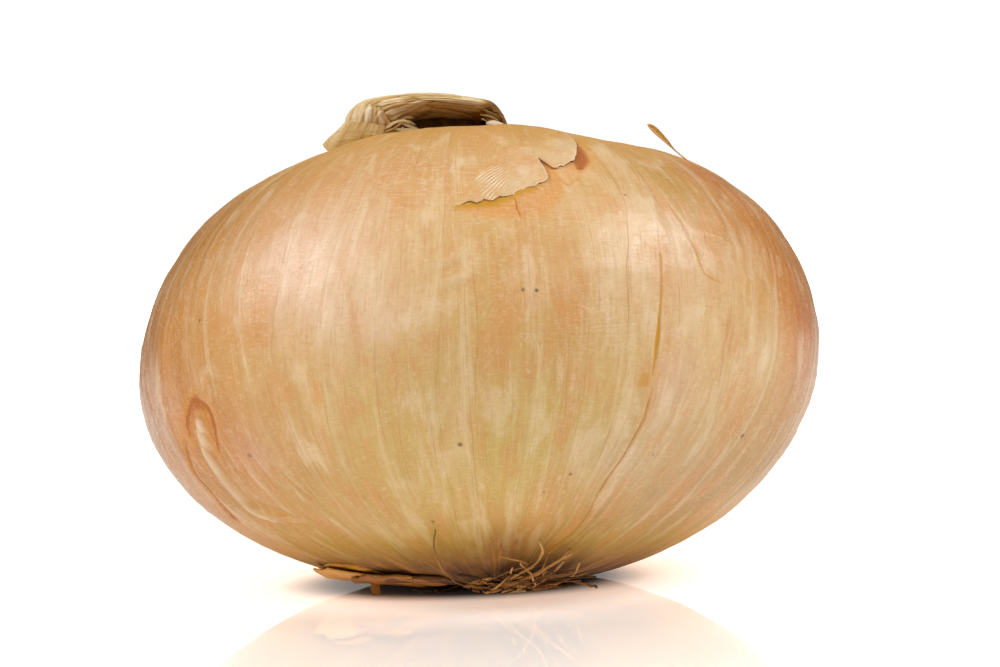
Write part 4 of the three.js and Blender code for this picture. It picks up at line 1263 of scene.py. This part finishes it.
# Loose strands: half width, tone and a route.
NECK_STRANDS = [
    (0.18, 0.74, [(-11.4, -6.4, 61.4), (-10.2, -6.2, 62.2), (-8.9, -5.6, 62.4), (-8.2, -5.2, 62)]),
    (0.17, 0.62, [(-10.6, -5.8, 61.8), (-9.6, -5.5, 62.5), (-8.5, -5, 62.9), (-7.6, -4.6, 62.8)]),
    (0.2, 0.8, [(-9.9, -5.9, 62.5), (-8.9, -5.4, 62), (-7.7, -4.9, 61.4), (-6.9, -4.6, 61.2)]),
    (0.15, 0.66, [(-9.4, -5.8, 62.6), (-8.3, -5.1, 62.3), (-7.4, -4.6, 61.8)]),
    (0.18, 0.7, [(-10.4, -6.1, 61.4), (-9.2, -5.7, 61.2), (-8, -5.2, 61.2), (-7.2, -5, 61)]),
    (0.14, 0.5, [(-10.8, -6, 60.9), (-9.6, -5.8, 60.9), (-8.7, -5.4, 61)]),
    (0.13, 0.44, [(-11.6, -6.4, 60.9), (-10.2, -6.3, 61.5), (-9.2, -5.9, 62.2)]),
    (0.13, 0.3, [(2, -4.6, 64.2), (3.2, -4.3, 63.6), (4.3, -4, 62.8)]),
    (0.15, 0.22, [(1.6, -5, 63.6), (2.8, -4.8, 63), (3.9, -4.4, 62.3)]),
    (0.14, 0.36, [(1.2, -4.9, 62.9), (2.6, -4.9, 62.6), (3.9, -4.5, 61.8)]),
    (0.34, 0.9, [(2, -5.2, 61.7), (3.2, -5.2, 61.6), (4.6, -4.8, 61.2)]),
    (0.26, 0.96, [(2.6, -5.4, 61.3), (3.8, -5.4, 61.2), (5, -4.8, 60.9)]),
]
NECK_TOP = 66.42  # the strands stay under the CAD's top


def neck_folds():
    bundle = Bundle()
    rng = np.random.default_rng(5)
    outward = np.array([0, -1, 0.45])
    for number, (half, tone, route) in enumerate(NECK_STRANDS):
        path = curve_through(route, 18)
        t = np.linspace(0, 1, len(path))
        taper = np.minimum(1, np.minimum(0.3 + 5 * t, 0.3 + 4 * (1 - t)))
        wide = half * 1.2 * taper * (1 + 0.12 * np.sin(9 * t + number))
        bundle.tube(path, wide, 0.55 * half * taper, outward, tone, 10, 0.06)
        # the same strand with small changes on the far side
        behind = np.array(route, float) * [1, -1, 1] + [0, -2.2, 0]
        behind = behind + rng.uniform(-0.3, 0.3, behind.shape)
        path = curve_through(behind, 18)
        bundle.tube(path, wide, 0.55 * half * taper, -outward * [1, 1, -1], tone, 8)
    # short hairs at the broken right end
    for _ in range(22):
        start = np.array([2.2, -3.4, 62.9]) + rng.uniform(-1, 1, 3) * [0.8, 1.4, 0.8]
        reach = rng.uniform(0.6, 1.5)
        end = start + np.array([reach, rng.uniform(-0.4, 0.4), -0.55 * reach])
        end[0] = min(end[0], 4.9)
        bend = (start + end) / 2 + rng.uniform(-0.1, 0.25, 3)
        size = np.linspace(0.13, 0.04, 8)
        path = curve_through([start, bend, end], 8)
        path[:, 2] = np.minimum(path[:, 2], NECK_TOP)
        bundle.tube(path, size, size * 0.6, (0, -1, 0.3), rng.uniform(0.15, 0.75), 6)
    return bundle.piece("neck_folds", "dried_neck")


def neck_material():
    g = new_graph("dried neck")
    strands = g.noise(g.scaled(g.uv(), (5.5, 0.35, 1)), 1.0, 3.0, 0.65)
    fine = g.noise(g.scaled(g.uv(), (14.0, 0.8, 1)), 1.0, 2.0, 0.6)
    cloud = g.noise(g.place(1 / MM), 0.45, 3.0, 0.6)
    shade = g.attribute("tone")
    for value, share in ((strands, 0.42), (fine, 0.26), (cloud, 0.3)):
        shade = g.add_part(g.off_middle(value), share, shade)
    stops = [
        (0.0, (34, 20, 3)),
        (0.16, (92, 60, 10)),
        (0.32, (144, 98, 30)),
        (0.5, (180, 140, 74)),
        (0.68, (202, 170, 116)),
        (0.85, (216, 192, 152)),
        (1.0, (232, 214, 190)),
    ]
    reddish = g.remap(cloud, 0.55, 0.75, 0, 0.25)
    colour = g.mix(reddish, g.ramp(shade, stops), (0.42, 0.16, 0.06))
    rough = g.remap(strands, 0.3, 0.7, 0.55, 0.75)
    return g.surface(colour, rough, g.add_part(fine, 0.5, strands), distance=0.00014)


# ------------------------------------------------------------------ scraps of loose skin


def along_outline(outline, shares):
    """(phi, theta) at each share of the length of an outline."""
    outline = np.array(outline, float)
    steps = np.hypot(np.diff(outline[:, 0]) * 0.65, np.diff(outline[:, 1]) * 0.55)
    length = np.concatenate([[0], np.cumsum(steps)]) / steps.sum()
    return [np.interp(shares, length, outline[:, k]) for k in (0, 1)]


def shoulder_flake():
    """The papery flake on the front shoulder: grown in at the top, lifted at its torn edge."""
    bundle = Bundle()
    nu, nv = 260, 84
    u = np.linspace(0, 1, nu)
    v = np.linspace(0, 1, nv)[None, :]
    torn_phi, torn_theta = along_outline(FLAKE_TORN_EDGE, u)
    root_phi, root_theta = along_outline(FLAKE_ROOT_LINE, u)
    jag = 0.5 * noise(stack(u * 42, 0.5, 0.5), 31) + 0.32 * noise(stack(u * 110, 0, 0), 32)
    torn_theta = torn_theta + jag * smooth(u, 0, 0.06) * smooth(u, 1, 0.9)
    torn_phi = torn_phi + 0.22 * noise(stack(u * 60, 3.5, 0.5), 36) * smooth(u, 0, 0.06)
    u = u[:, None]
    phi = root_phi[:, None] + (torn_phi - root_phi)[:, None] * v
    theta = root_theta[:, None] + (torn_theta - root_theta)[:, None] * v
    # creases follow arcs round a point under the lower edge
    fan = np.hypot((phi - 17.5) * 0.66, (theta - 66.0) * 0.55)
    creased = smooth(phi, 10, 3) * smooth(v, 0.02, 0.2) + 0.28 * smooth(v, 0.1, 0.5)
    waver = noise(stack(phi * 0.25, theta * 0.2, 0), 33)
    waves = np.sin(fan * 14.5 + 3.0 * waver) + 0.3 * np.sin(fan * 27 + 5 * waver + 1)
    waves = waves * (0.65 + 0.5 * noise(stack(phi * 0.45, theta * 0.4, 2), 34))
    waves = waves * smooth(u, 0.02, 0.16)
    ends = smooth(u, 0, 0.08) * smooth(u, 1, 0.9)
    curl = 0.75 + 0.5 * noise(stack(u * 9, 2.0, 1.0), 35)
    lift = -0.55 + 0.36 * smooth(v, 0, 0.22) - 0.07 * smooth(v, 0.6, 0.95)
    lift = lift + 0.07 * v**6 * ends * curl
    lift = lift + spots(theta, phi, SHOULDER_SWELLS)
    lift = lift + 0.045 * waves * creased * smooth(v, 0.1, 0.3)
    lift = lift + 0.03 * noise(stack(phi * 0.5, theta * 0.5, 4.0), 37)
    grid = on_skin(np.radians(theta), np.radians(phi), 0.0)
    lift = lift + broad_relief(grid, np.sin(np.radians(theta)))
    outward = unit(on_skin(np.radians(theta), np.radians(phi), 1.0) - grid)
    grid = grid + outward * lift[..., None]
    bundle.sheet(grid, 0.05, 0.5)
    flake = bundle.piece("shoulder_flake", "papery_skin", ("skin_flake",))

    def both_faces(values):
        flat = np.broadcast_to(values, (nu, nv)).ravel()
        return np.concatenate([flat, flat])

    ground = skin_tint(theta, phi).reshape(-1, 3)
    tint = np.concatenate([ground, ground])
    papery = 0.75 * smooth(v, 0.15, 0.75) * (0.4 + 0.6 * smooth(u, 0.0, 0.2))
    golden = 0.45 * smooth(phi, 15, 17) * smooth(v, 0.75, 0.35)
    for share, colour in ((papery, (222, 186, 142)), (golden, (212, 158, 84))):
        tint = tint + (paint(*colour) - tint) * both_faces(share)[:, None]
    radius = HALF_WIDTH * girth_share(np.radians(theta))
    at = on_cylinder(np.radians(phi), radius, theta * 0.55)
    give(flake, tint=opaque(tint), streak=np.concatenate([at.reshape(-1, 3)] * 2))
    give(flake, girth=both_faces(radius), creases=both_faces(waves * creased))
    # edge: where the painted highlight along the torn edge goes
    give(flake, edge=both_faces(smooth(v, 0.965, 0.995) * ends))
    return flake


def shoulder_curl():
    """The sliver of skin that stands up off the right shoulder."""
    bundle = Bundle()
    theta, phi = math.radians(34), math.radians(57.5)
    base = on_skin(theta, phi, 0.35)
    foothold = on_skin(theta + math.radians(3.5), phi + math.radians(0.5), -0.1)
    climb = np.array([[0, 0, 0], [-1.35, -0.2, 1.4], [-2.65, -0.3, 2.7], [-3.75, -0.4, 3.75]])
    path = curve_through([foothold, *(base + climb)], 40)
    t = np.linspace(0, 1, 40)
    half = 0.1 + 0.36 * smooth(t, 0.25, 0.75)
    half = half * (1 + 0.05 * np.sin(17 * t)) * np.sqrt(np.maximum(1 - t**9, 0.04))
    ahead = unit(np.gradient(path, axis=0))
    side = unit(np.cross(ahead, [0.25, -1, 0.35]))
    w = np.linspace(-1, 1, 11)
    bent = side[:, None, :] * w[:, None] + np.cross(side, ahead)[:, None, :] * 0.6 * w[:, None] ** 2
    grid = path[:, None, :] + bent * half[:, None, None]
    tone = 0.58 + 0.1 * np.abs(w)[None, :] ** 2 - 0.14 * smooth(t[:, None], 0.85, 1)
    bundle.sheet(grid, 0.13, np.clip(tone, 0, 1))
    return bundle.piece("shoulder_curl", "brown_skin", ("skin_curl",))


# The old layers under the onion: distance of inner and outer edge from the root end in millimetres,
# phi of both ends in degrees, drop and droop, tone and rim tone, seed, thickness, and how far the
# ends draw in.
BASE_LAYERS = [
    (12.5, 22.2, -56, -90, -0.42, 0.55, 0.42, 0.46, 41, 0.5, 1.2),
    (12, 22.8, -60, -88, 0.05, 0.85, 0.66, 0.58, 43, 0.26, 1.6),
    (9.5, 19.6, -40, -80, 0.05, 0.8, 0.34, 0.26, 47, 0.36, 2),
    (8.8, 16.5, -28, -62, -0.1, 0.6, 0.08, 0.1, 53, 0.45, 1.5),
]
# A shred of them that reaches down to the floor.
BASE_FOOT = [(-14.4, -13.2, 2.2), (-14.7, -13.6, 1.2), (-14.5, -13.8, 0.22)]
BASE_CLEARANCE = 0.45  # millimetres over the floor


def base_flap():
    """Old layers that hang off the underside at the left, just over the floor."""
    bundle = Bundle()
    u = np.linspace(0, 1, 60)[:, None]
    v = np.linspace(0, 1, 30)[None, :]
    for inner, outer, start, end, drop, droop, tone, rim, seed, thickness, squeeze in BASE_LAYERS:
        jag = 0.7 * noise(stack(u * 5, seed, 0.3), seed) + 0.25 * noise(stack(u * 15, seed, 0.7), seed)
        reach = inner + (outer + jag - squeeze * (2 * u - 1) ** 2 - inner) * v
        grid = on_skin(theta_at_root(reach), np.radians(start + (end - start) * u))
        grid[..., 2] -= drop + droop * v**2 + 0.1 * noise(stack(u * 5, v * 5, seed), seed + 1)
        grid[..., 2] = np.maximum(grid[..., 2], BASE_CLEARANCE)
        shade = tone + 0.1 * noise(stack(u * 9, v * 6, seed), seed + 2)
        shade = shade - (shade - rim) * smooth(v, 0.86, 0.99)
        bundle.sheet(grid[::-1], thickness, np.clip(shade, 0, 1))
    bundle.tube(curve_through(BASE_FOOT, 10), 0.62, 0.12, (0, -1, 0.1), 0.36)
    return bundle.piece("base_flap", "brown_skin", ("base_skin_flap",))


def grained(name, fibre, roughness, grain_scale, shares, stops):
    """Begins a dry, fibrous material: returns its graph, its two noises and its colour."""
    g = new_graph(name)
    strands = g.noise(g.scaled(g.uv(), (*fibre, 1)), 1.0, 3.0, roughness)
    grain = g.noise(g.place(1 / MM), grain_scale, 3.0, 0.65)
    shade = g.attribute("tone")
    for value, share in zip((strands, grain), shares):
        shade = g.add_part(g.off_middle(value), share, shade)
    return g, strands, grain, g.ramp(shade, stops)


def scrap_material():
    stops = [
        (0.0, (48, 24, 4)),
        (0.25, (132, 82, 20)),
        (0.5, (192, 134, 46)),
        (0.75, (190, 148, 80)),
        (1.0, (206, 176, 132)),
    ]
    made = grained("loose brown skin", (2.2, 0.5), 0.65, 1.8, (0.16, 0.08), stops)
    g, strands, grain, colour = made
    rough = g.remap(grain, 0.3, 0.7, 0.5, 0.6)
    height = g.add_part(grain, 0.6, strands)
    return g.surface(colour, rough, height, distance=0.00008, ior=1.38)


# ------------------------------------------------------------------ roots

# Roots that can be followed on the front: radius, tone and a route.
FRONT_ROOTS = [
    (0.15, 0.42, [(-6.1, -37.4, 11), (-6.4, -35.6, 9.3), (-6.3, -33.3, 7.4)]
        + [(-5.5, -29.8, 5.1), (-4, -25.3, 2.9), (-2.2, -20.5, 1.5)]),
    (0.24, 0.62, [(6.7, -34.6, 8.9), (7, -32.4, 7), (5.9, -29.9, 5.2), (3.9, -27.7, 3.9)]
        + [(2.2, -24, 2.4)]),
    (0.24, 0.55, [(10.5, -31.3, 7.3), (9.5, -30, 6), (7.3, -28.4, 4.6)]
        + [(4.9, -26, 3.2), (2.4, -23.5, 2), (0.6, -20.5, 1.2)]),
    (0.2, 0.66, [(10.7, -30.7, 6.7), (9, -29.2, 5.5), (7, -27.2, 4.1), (5, -23.5, 2.5)]),
    (0.26, 0.58, [(9.9, -29, 5.6), (8.3, -26, 3.7), (6.4, -22, 1.9), (4.4, -17.5, 1)]),
    (0.22, 0.6, [(11.8, -27.4, 5.1), (11.1, -23.6, 3.1), (9.5, -21.2, 2), (7, -19.4, 1.4)]
        + [(4.5, -17, 1)]),
    (0.24, 0.52, [(12.9, -21.6, 3.1), (10.2, -21, 2.2), (7.6, -19.6, 1), (5.2, -17, 0.7)]),
    (0.22, 0.6, [(6.5, -26.5, 3.7), (3.9, -24.3, 2.5), (1, -22.3, 1.2), (-0.6, -20, 0.8)]),
    (0.2, 0.68, [(3.3, -29.4, 5), (2.7, -26.8, 3.5), (1.2, -24.6, 2), (0.6, -21.5, 1.3)]),
    (0.16, 0.72, [(4.2, -30.4, 5.6), (5.4, -27.9, 4.1), (6.2, -23.6, 2.2), (6, -20, 1.2)]),
    (0.24, 0.98, [(6.2, -19, 2.3), (4.9, -18.9, 1.6), (3.3, -18.6, 1), (2.4, -18.2, 0.55)]
        + [(4.9, -17.9, 0.5)]),
    (0.22, 0.92, [(6, -19.4, 1.7), (4.2, -19.2, 1), (2.6, -18.6, 0.7), (1.9, -18, 0.45)]),
    (0.22, 0.48, [(11, -17, 1.5), (13.1, -16.6, 0.8), (14.4, -16.2, 0.45)]),
    (0.18, 0.62, [(-2.4, -24.1, 2.5), (-0.9, -25.7, 3.1), (0.4, -26.1, 3.3)]),
    (0.18, 0.55, [(-2.8, -24.5, 2.7), (0.9, -23.7, 2.3), (2.6, -22.6, 1.9)]),
    (0.2, 0.4, [(7.9, -32.2, 7.2), (7.4, -30, 5.6), (6.9, -27.4, 4.2), (5.6, -23.8, 2.4)]),
]
PLATE_RADIUS = 5.2


def root_plate():
    """The corky disc in the hollow of the root end."""
    bundle = Bundle()
    a = round_angles(72)
    top = -ROOT_HEIGHT + HOLLOW_DEPTH - 0.3
    rings = []
    for share, drop in ((0.3, 0), (0.94, 0.0), (1.0, 0.5), (0.9, 0.95), (0.6, 1.1), (0.25, 0.85)):
        lumps = noise(on_cylinder(a, 3, drop * 2), 61)
        radius = PLATE_RADIUS * share * (1 + 0.05 * lumps)
        z = top - drop + 0.12 * noise(on_cylinder(a, 6, share * 5), 62)
        x, y = ROOT_END_X + radius * np.cos(a), ROOT_END_Y + radius * np.sin(a)
        rings.append(in_bulb(x, y, z))
    points, faces, uv = closed_loft(np.array(rings))
    points[:, 2] = np.maximum(points[:, 2], 0.2)
    bundle.add(points, faces, uv, 0.12)
    return bundle.piece("root_plate", "dried_root")


def root_hairs():
    bundle = Bundle()
    rng = np.random.default_rng(17)

    def run(path, radius, tone):
        path[:, 2] = np.maximum(path[:, 2], radius + 0.05)
        t = np.linspace(0, 1, len(path))
        size = radius * (0.72 + 0.28 * t) * (1 + 0.16 * np.sin(t * 23 + radius * 90))
        shade = np.clip(tone + 0.1 * np.sin(t * 9 + tone * 20), 0, 1)
        bundle.tube(path, size, size * 0.85, unit(path - BULB_MIDDLE), shade, 7, 0.08)

    for radius, tone, route in FRONT_ROOTS:
        radius, tone = 0.95 * radius, tone + 0.04
        path = curve_through(route, 26)
        kinks = noise(stack(np.arange(26) * 0.55, radius * 100, tone * 50), 71)[:, None]
        path = path + kinks * np.array([0.16, 0.05, 0.1]) * np.linspace(0.4, 1, 26)[:, None]
        run(path, radius, tone)

    def random_root(phi0, reach, sway, rise, radius, tone):
        phi0, sway = math.radians(phi0), math.radians(sway)
        shares = np.linspace(0, 1, 6)
        x, y = ROOT_END_X + 3.2 * math.sin(phi0), ROOT_END_Y - 3.2 * math.cos(phi0)
        start = in_bulb(x, y, -ROOT_HEIGHT + HOLLOW_DEPTH - 1.0)
        theta = theta_at_root(HOLLOW_FLOOR + 1 + (reach - HOLLOW_FLOOR - 1) * shares)
        bends = rng.uniform(-0.1, 0.1, 6)
        outward = on_skin(theta, phi0 + sway * shares**1.5 + bends, 0.45 + rise * shares**1.7)
        run(curve_through(np.vstack([start, outward]), 20), radius, tone)

    for _ in range(34):
        side = rng.uniform(-1, 1)
        reach = rng.uniform(11, 23) * (1 - 0.25 * abs(side))
        sway, rise = rng.uniform(-16, 26), rng.uniform(0.0, 2.2) ** 1.4 * 0.6
        radius, tone = rng.uniform(0.1, 0.19), rng.uniform(0.1, 0.6)
        random_root(12 + 26 * side, reach, sway, rise, radius, tone)
    for _ in range(30):
        phi0, reach, sway = rng.uniform(60, 300), rng.uniform(8.0, 10.5), rng.uniform(-20, 20)
        random_root(phi0, reach, sway, 0.0, rng.uniform(0.12, 0.2), rng.uniform(0.15, 0.6))
    return bundle.piece("root_hairs", "dried_root", ("root_tuft",))


def root_material():
    stops = [
        (0.0, (40, 22, 4)),
        (0.3, (104, 66, 22)),
        (0.6, (160, 112, 52)),
        (0.85, (200, 154, 90)),
        (1.0, (226, 190, 128)),
    ]
    made = grained("dried root", (8.0, 0.6), 0.6, 2.4, (0.5, 0.35), stops)
    g, strands, grain, colour = made
    height = g.add_part(grain, 0.5, strands)
    return g.surface(colour, 0.8, height, distance=0.00012, strength=0.7)


# ------------------------------------------------------------------ put the onion together

neck_finish, scrap_finish, root_finish = neck_material(), scrap_material(), root_material()
for build, finish in (
    (bulb_skin, skin_material()),
    (shoulder_flake, skin_material("papery flake", flake=True)),
    (neck_sheath, neck_finish),
    (neck_folds, neck_finish),
    (shoulder_curl, scrap_finish),
    (base_flap, scrap_finish),
    (root_plate, root_finish),
    (root_hairs, root_finish),
):
    build().data.materials.append(finish)

# ------------------------------------------------------------------ floor, light and camera


def floor():
    """A glossy white acrylic sheet that glows with painted light, except right under the onion, where
    the missing glow paints its contact shadow.
    """
    mesh = bpy.data.meshes.new("floor")
    corners = [(-3, -1.2, 0), (3, -1.2, 0), (3, 4, 0), (-3, 4, 0)]
    mesh.from_pydata(corners, [], [(0, 1, 2, 3)])
    made = bpy.data.objects.new("floor", mesh)
    bpy.context.scene.collection.objects.link(made)
    g = new_graph("white floor")
    middle = g.node("VectorMath", g.place(), (0.003, 0, 0), operation="ADD").outputs[0]
    middle = g.scaled(middle, (0.85, 1, 1))
    away = g.node("VectorMath", middle, operation="LENGTH").outputs["Value"]
    sheen = g.times(g.remap(away, 0.018, 0.052, 0.16, 0.58), g.remap(away, 0.065, 0.24, 1.0, 0.2))
    # the glow is left out right under the onion, a painted contact shadow; it swells just beyond,
    # painting over the onion's shade, then dips, and rises again far off
    lit = g.remap(away, 0.015, 0.0235, 0.0, 0.78)
    lit = g.math("SUBTRACT", lit, g.remap(away, 0.024, 0.042, 0.0, 0.17))
    lit = g.math("ADD", lit, g.remap(away, 0.25, 0.9, 0.0, 0.9))
    # the painted glow is kept to a lane that widens to the back
    spot_x, spot_y, _ = g.node("SeparateXYZ", g.place()).outputs
    aside = g.add_part(spot_y, -0.2, g.math("ABSOLUTE", spot_x))
    lit = g.times(lit, g.remap(aside, 0.1, 0.2, 1.0, 0.0))
    lit = g.math("ADD", lit, g.remap(away, 1.0, 2.2, 0.0, 0.7))
    # close round the onion the glow is warm: a painted reflection of its skin
    warm_painted_reflection = g.mix(g.remap(away, 0.03, 0.11), (1.0, 0.74, 0.59), (1.0, 0.95, 0.88))
    white = g.node("BsdfDiffuse", (0.93, 0.93, 0.93)).outputs[0]
    under = g.node("Emission", warm_painted_reflection, lit).outputs[0]
    base = g.node("AddShader", white, under).outputs[0]
    mirror = g.node("BsdfAnisotropic", (1.0, 1.0, 1.0), 0.0).outputs[0]
    mixed = g.node("MixShader", sheen, base, mirror).outputs[0]
    g.tree.nodes.remove(g.tree.nodes["Principled BSDF"])
    g.fill(g.tree.nodes["Material Output"], Surface=mixed)
    mesh.materials.append(g.owner)


def soft_light(name, azimuth, elevation, distance, size, power):
    """A large softbox aimed at the onion; azimuth 0 is in front and 90 to the right."""
    light = bpy.data.lights.new(name, "AREA")
    light.shape = "RECTANGLE"
    light.size, light.size_y = size
    light.energy = power
    made = bpy.data.objects.new(name, light)
    a, e = math.radians(azimuth), math.radians(elevation)
    way = Vector((math.sin(a) * math.cos(e), -math.cos(a) * math.cos(e), math.sin(e)))
    made.location = Vector((0, -0.003, 0.03)) + way * distance
    made.rotation_euler = way.to_track_quat("Z", "Y").to_euler()
    bpy.context.scene.collection.objects.link(made)


floor()
soft_light("left box", -75, 37, 0.9, (0.34, 0.36), 4.6)
soft_light("right box", 78, 43, 0.9, (0.26, 0.36), 5.0)
soft_light("front fill", -8, 24, 1.2, (1.2, 0.9), 2.6)
soft_light("top box", 0, 90, 1.6, (3.2, 3.2), 22.0)

# The backdrop is white to the camera and in the floor's sharp reflection; the room that lights
# the onion is a dimmer grey.
ROOM, BACKDROP = 0.12, 1.04
world = bpy.data.worlds.new("studio")
bpy.context.scene.world = world
sky = Graph(world)
rays = sky.node("LightPath").outputs
seen = sky.math("MAXIMUM", rays["Is Camera Ray"], rays["Is Singular Ray"])
level = sky.fill(sky.node("MapRange"), Value=seen, To_Min=ROOM, To_Max=BACKDROP).outputs[0]
sky.fill(sky.tree.nodes["Background"], Strength=level, Color=(1, 1, 1))
bpy.context.scene.view_settings.view_transform = "Standard"

# the camera stands 400 mm off, 3 degrees over the horizon, with a 2 degree roll
CAMERA_DISTANCE, CAMERA_HEIGHT, CAMERA_ROLL = 400.0, math.radians(3), math.radians(2)
FRAME_WIDTH, FRAME_HEIGHT = 1000, 667
FOCAL = 2969.565  # in pixels of that frame
MIDDLE_X, MIDDLE_Y = 479.6, 365.7  # where the bulb's middle falls in it
SENSOR = 36  # in millimetres
forward = Vector((0, math.cos(CAMERA_HEIGHT), -math.sin(CAMERA_HEIGHT)))
level_up = Vector((0, math.sin(CAMERA_HEIGHT), math.cos(CAMERA_HEIGHT)))
level_right = Vector((1, 0, 0))
right = math.cos(CAMERA_ROLL) * level_right - math.sin(CAMERA_ROLL) * level_up
up = math.sin(CAMERA_ROLL) * level_right + math.cos(CAMERA_ROLL) * level_up
seat = Vector(BULB_MIDDLE) - CAMERA_DISTANCE * forward
shift_x, shift_y = MIDDLE_X - FRAME_WIDTH / 2, FRAME_HEIGHT / 2 - MIDDLE_Y
aim = (forward - shift_x / FOCAL * right - shift_y / FOCAL * up).normalized()
right = (right - right.dot(aim) * aim).normalized()
up = right.cross(aim)
camera_data = bpy.data.cameras.new("camera")
camera_data.sensor_width = SENSOR
camera_data.lens = FOCAL * SENSOR / FRAME_WIDTH
camera_data.clip_start = 0.01
camera = bpy.data.objects.new("camera", camera_data)
bpy.context.scene.collection.objects.link(camera)
turn = Matrix((right, up, -aim)).transposed().to_4x4()
camera.matrix_world = Matrix.Translation(seat * MM) @ turn
bpy.context.scene.camera = camera
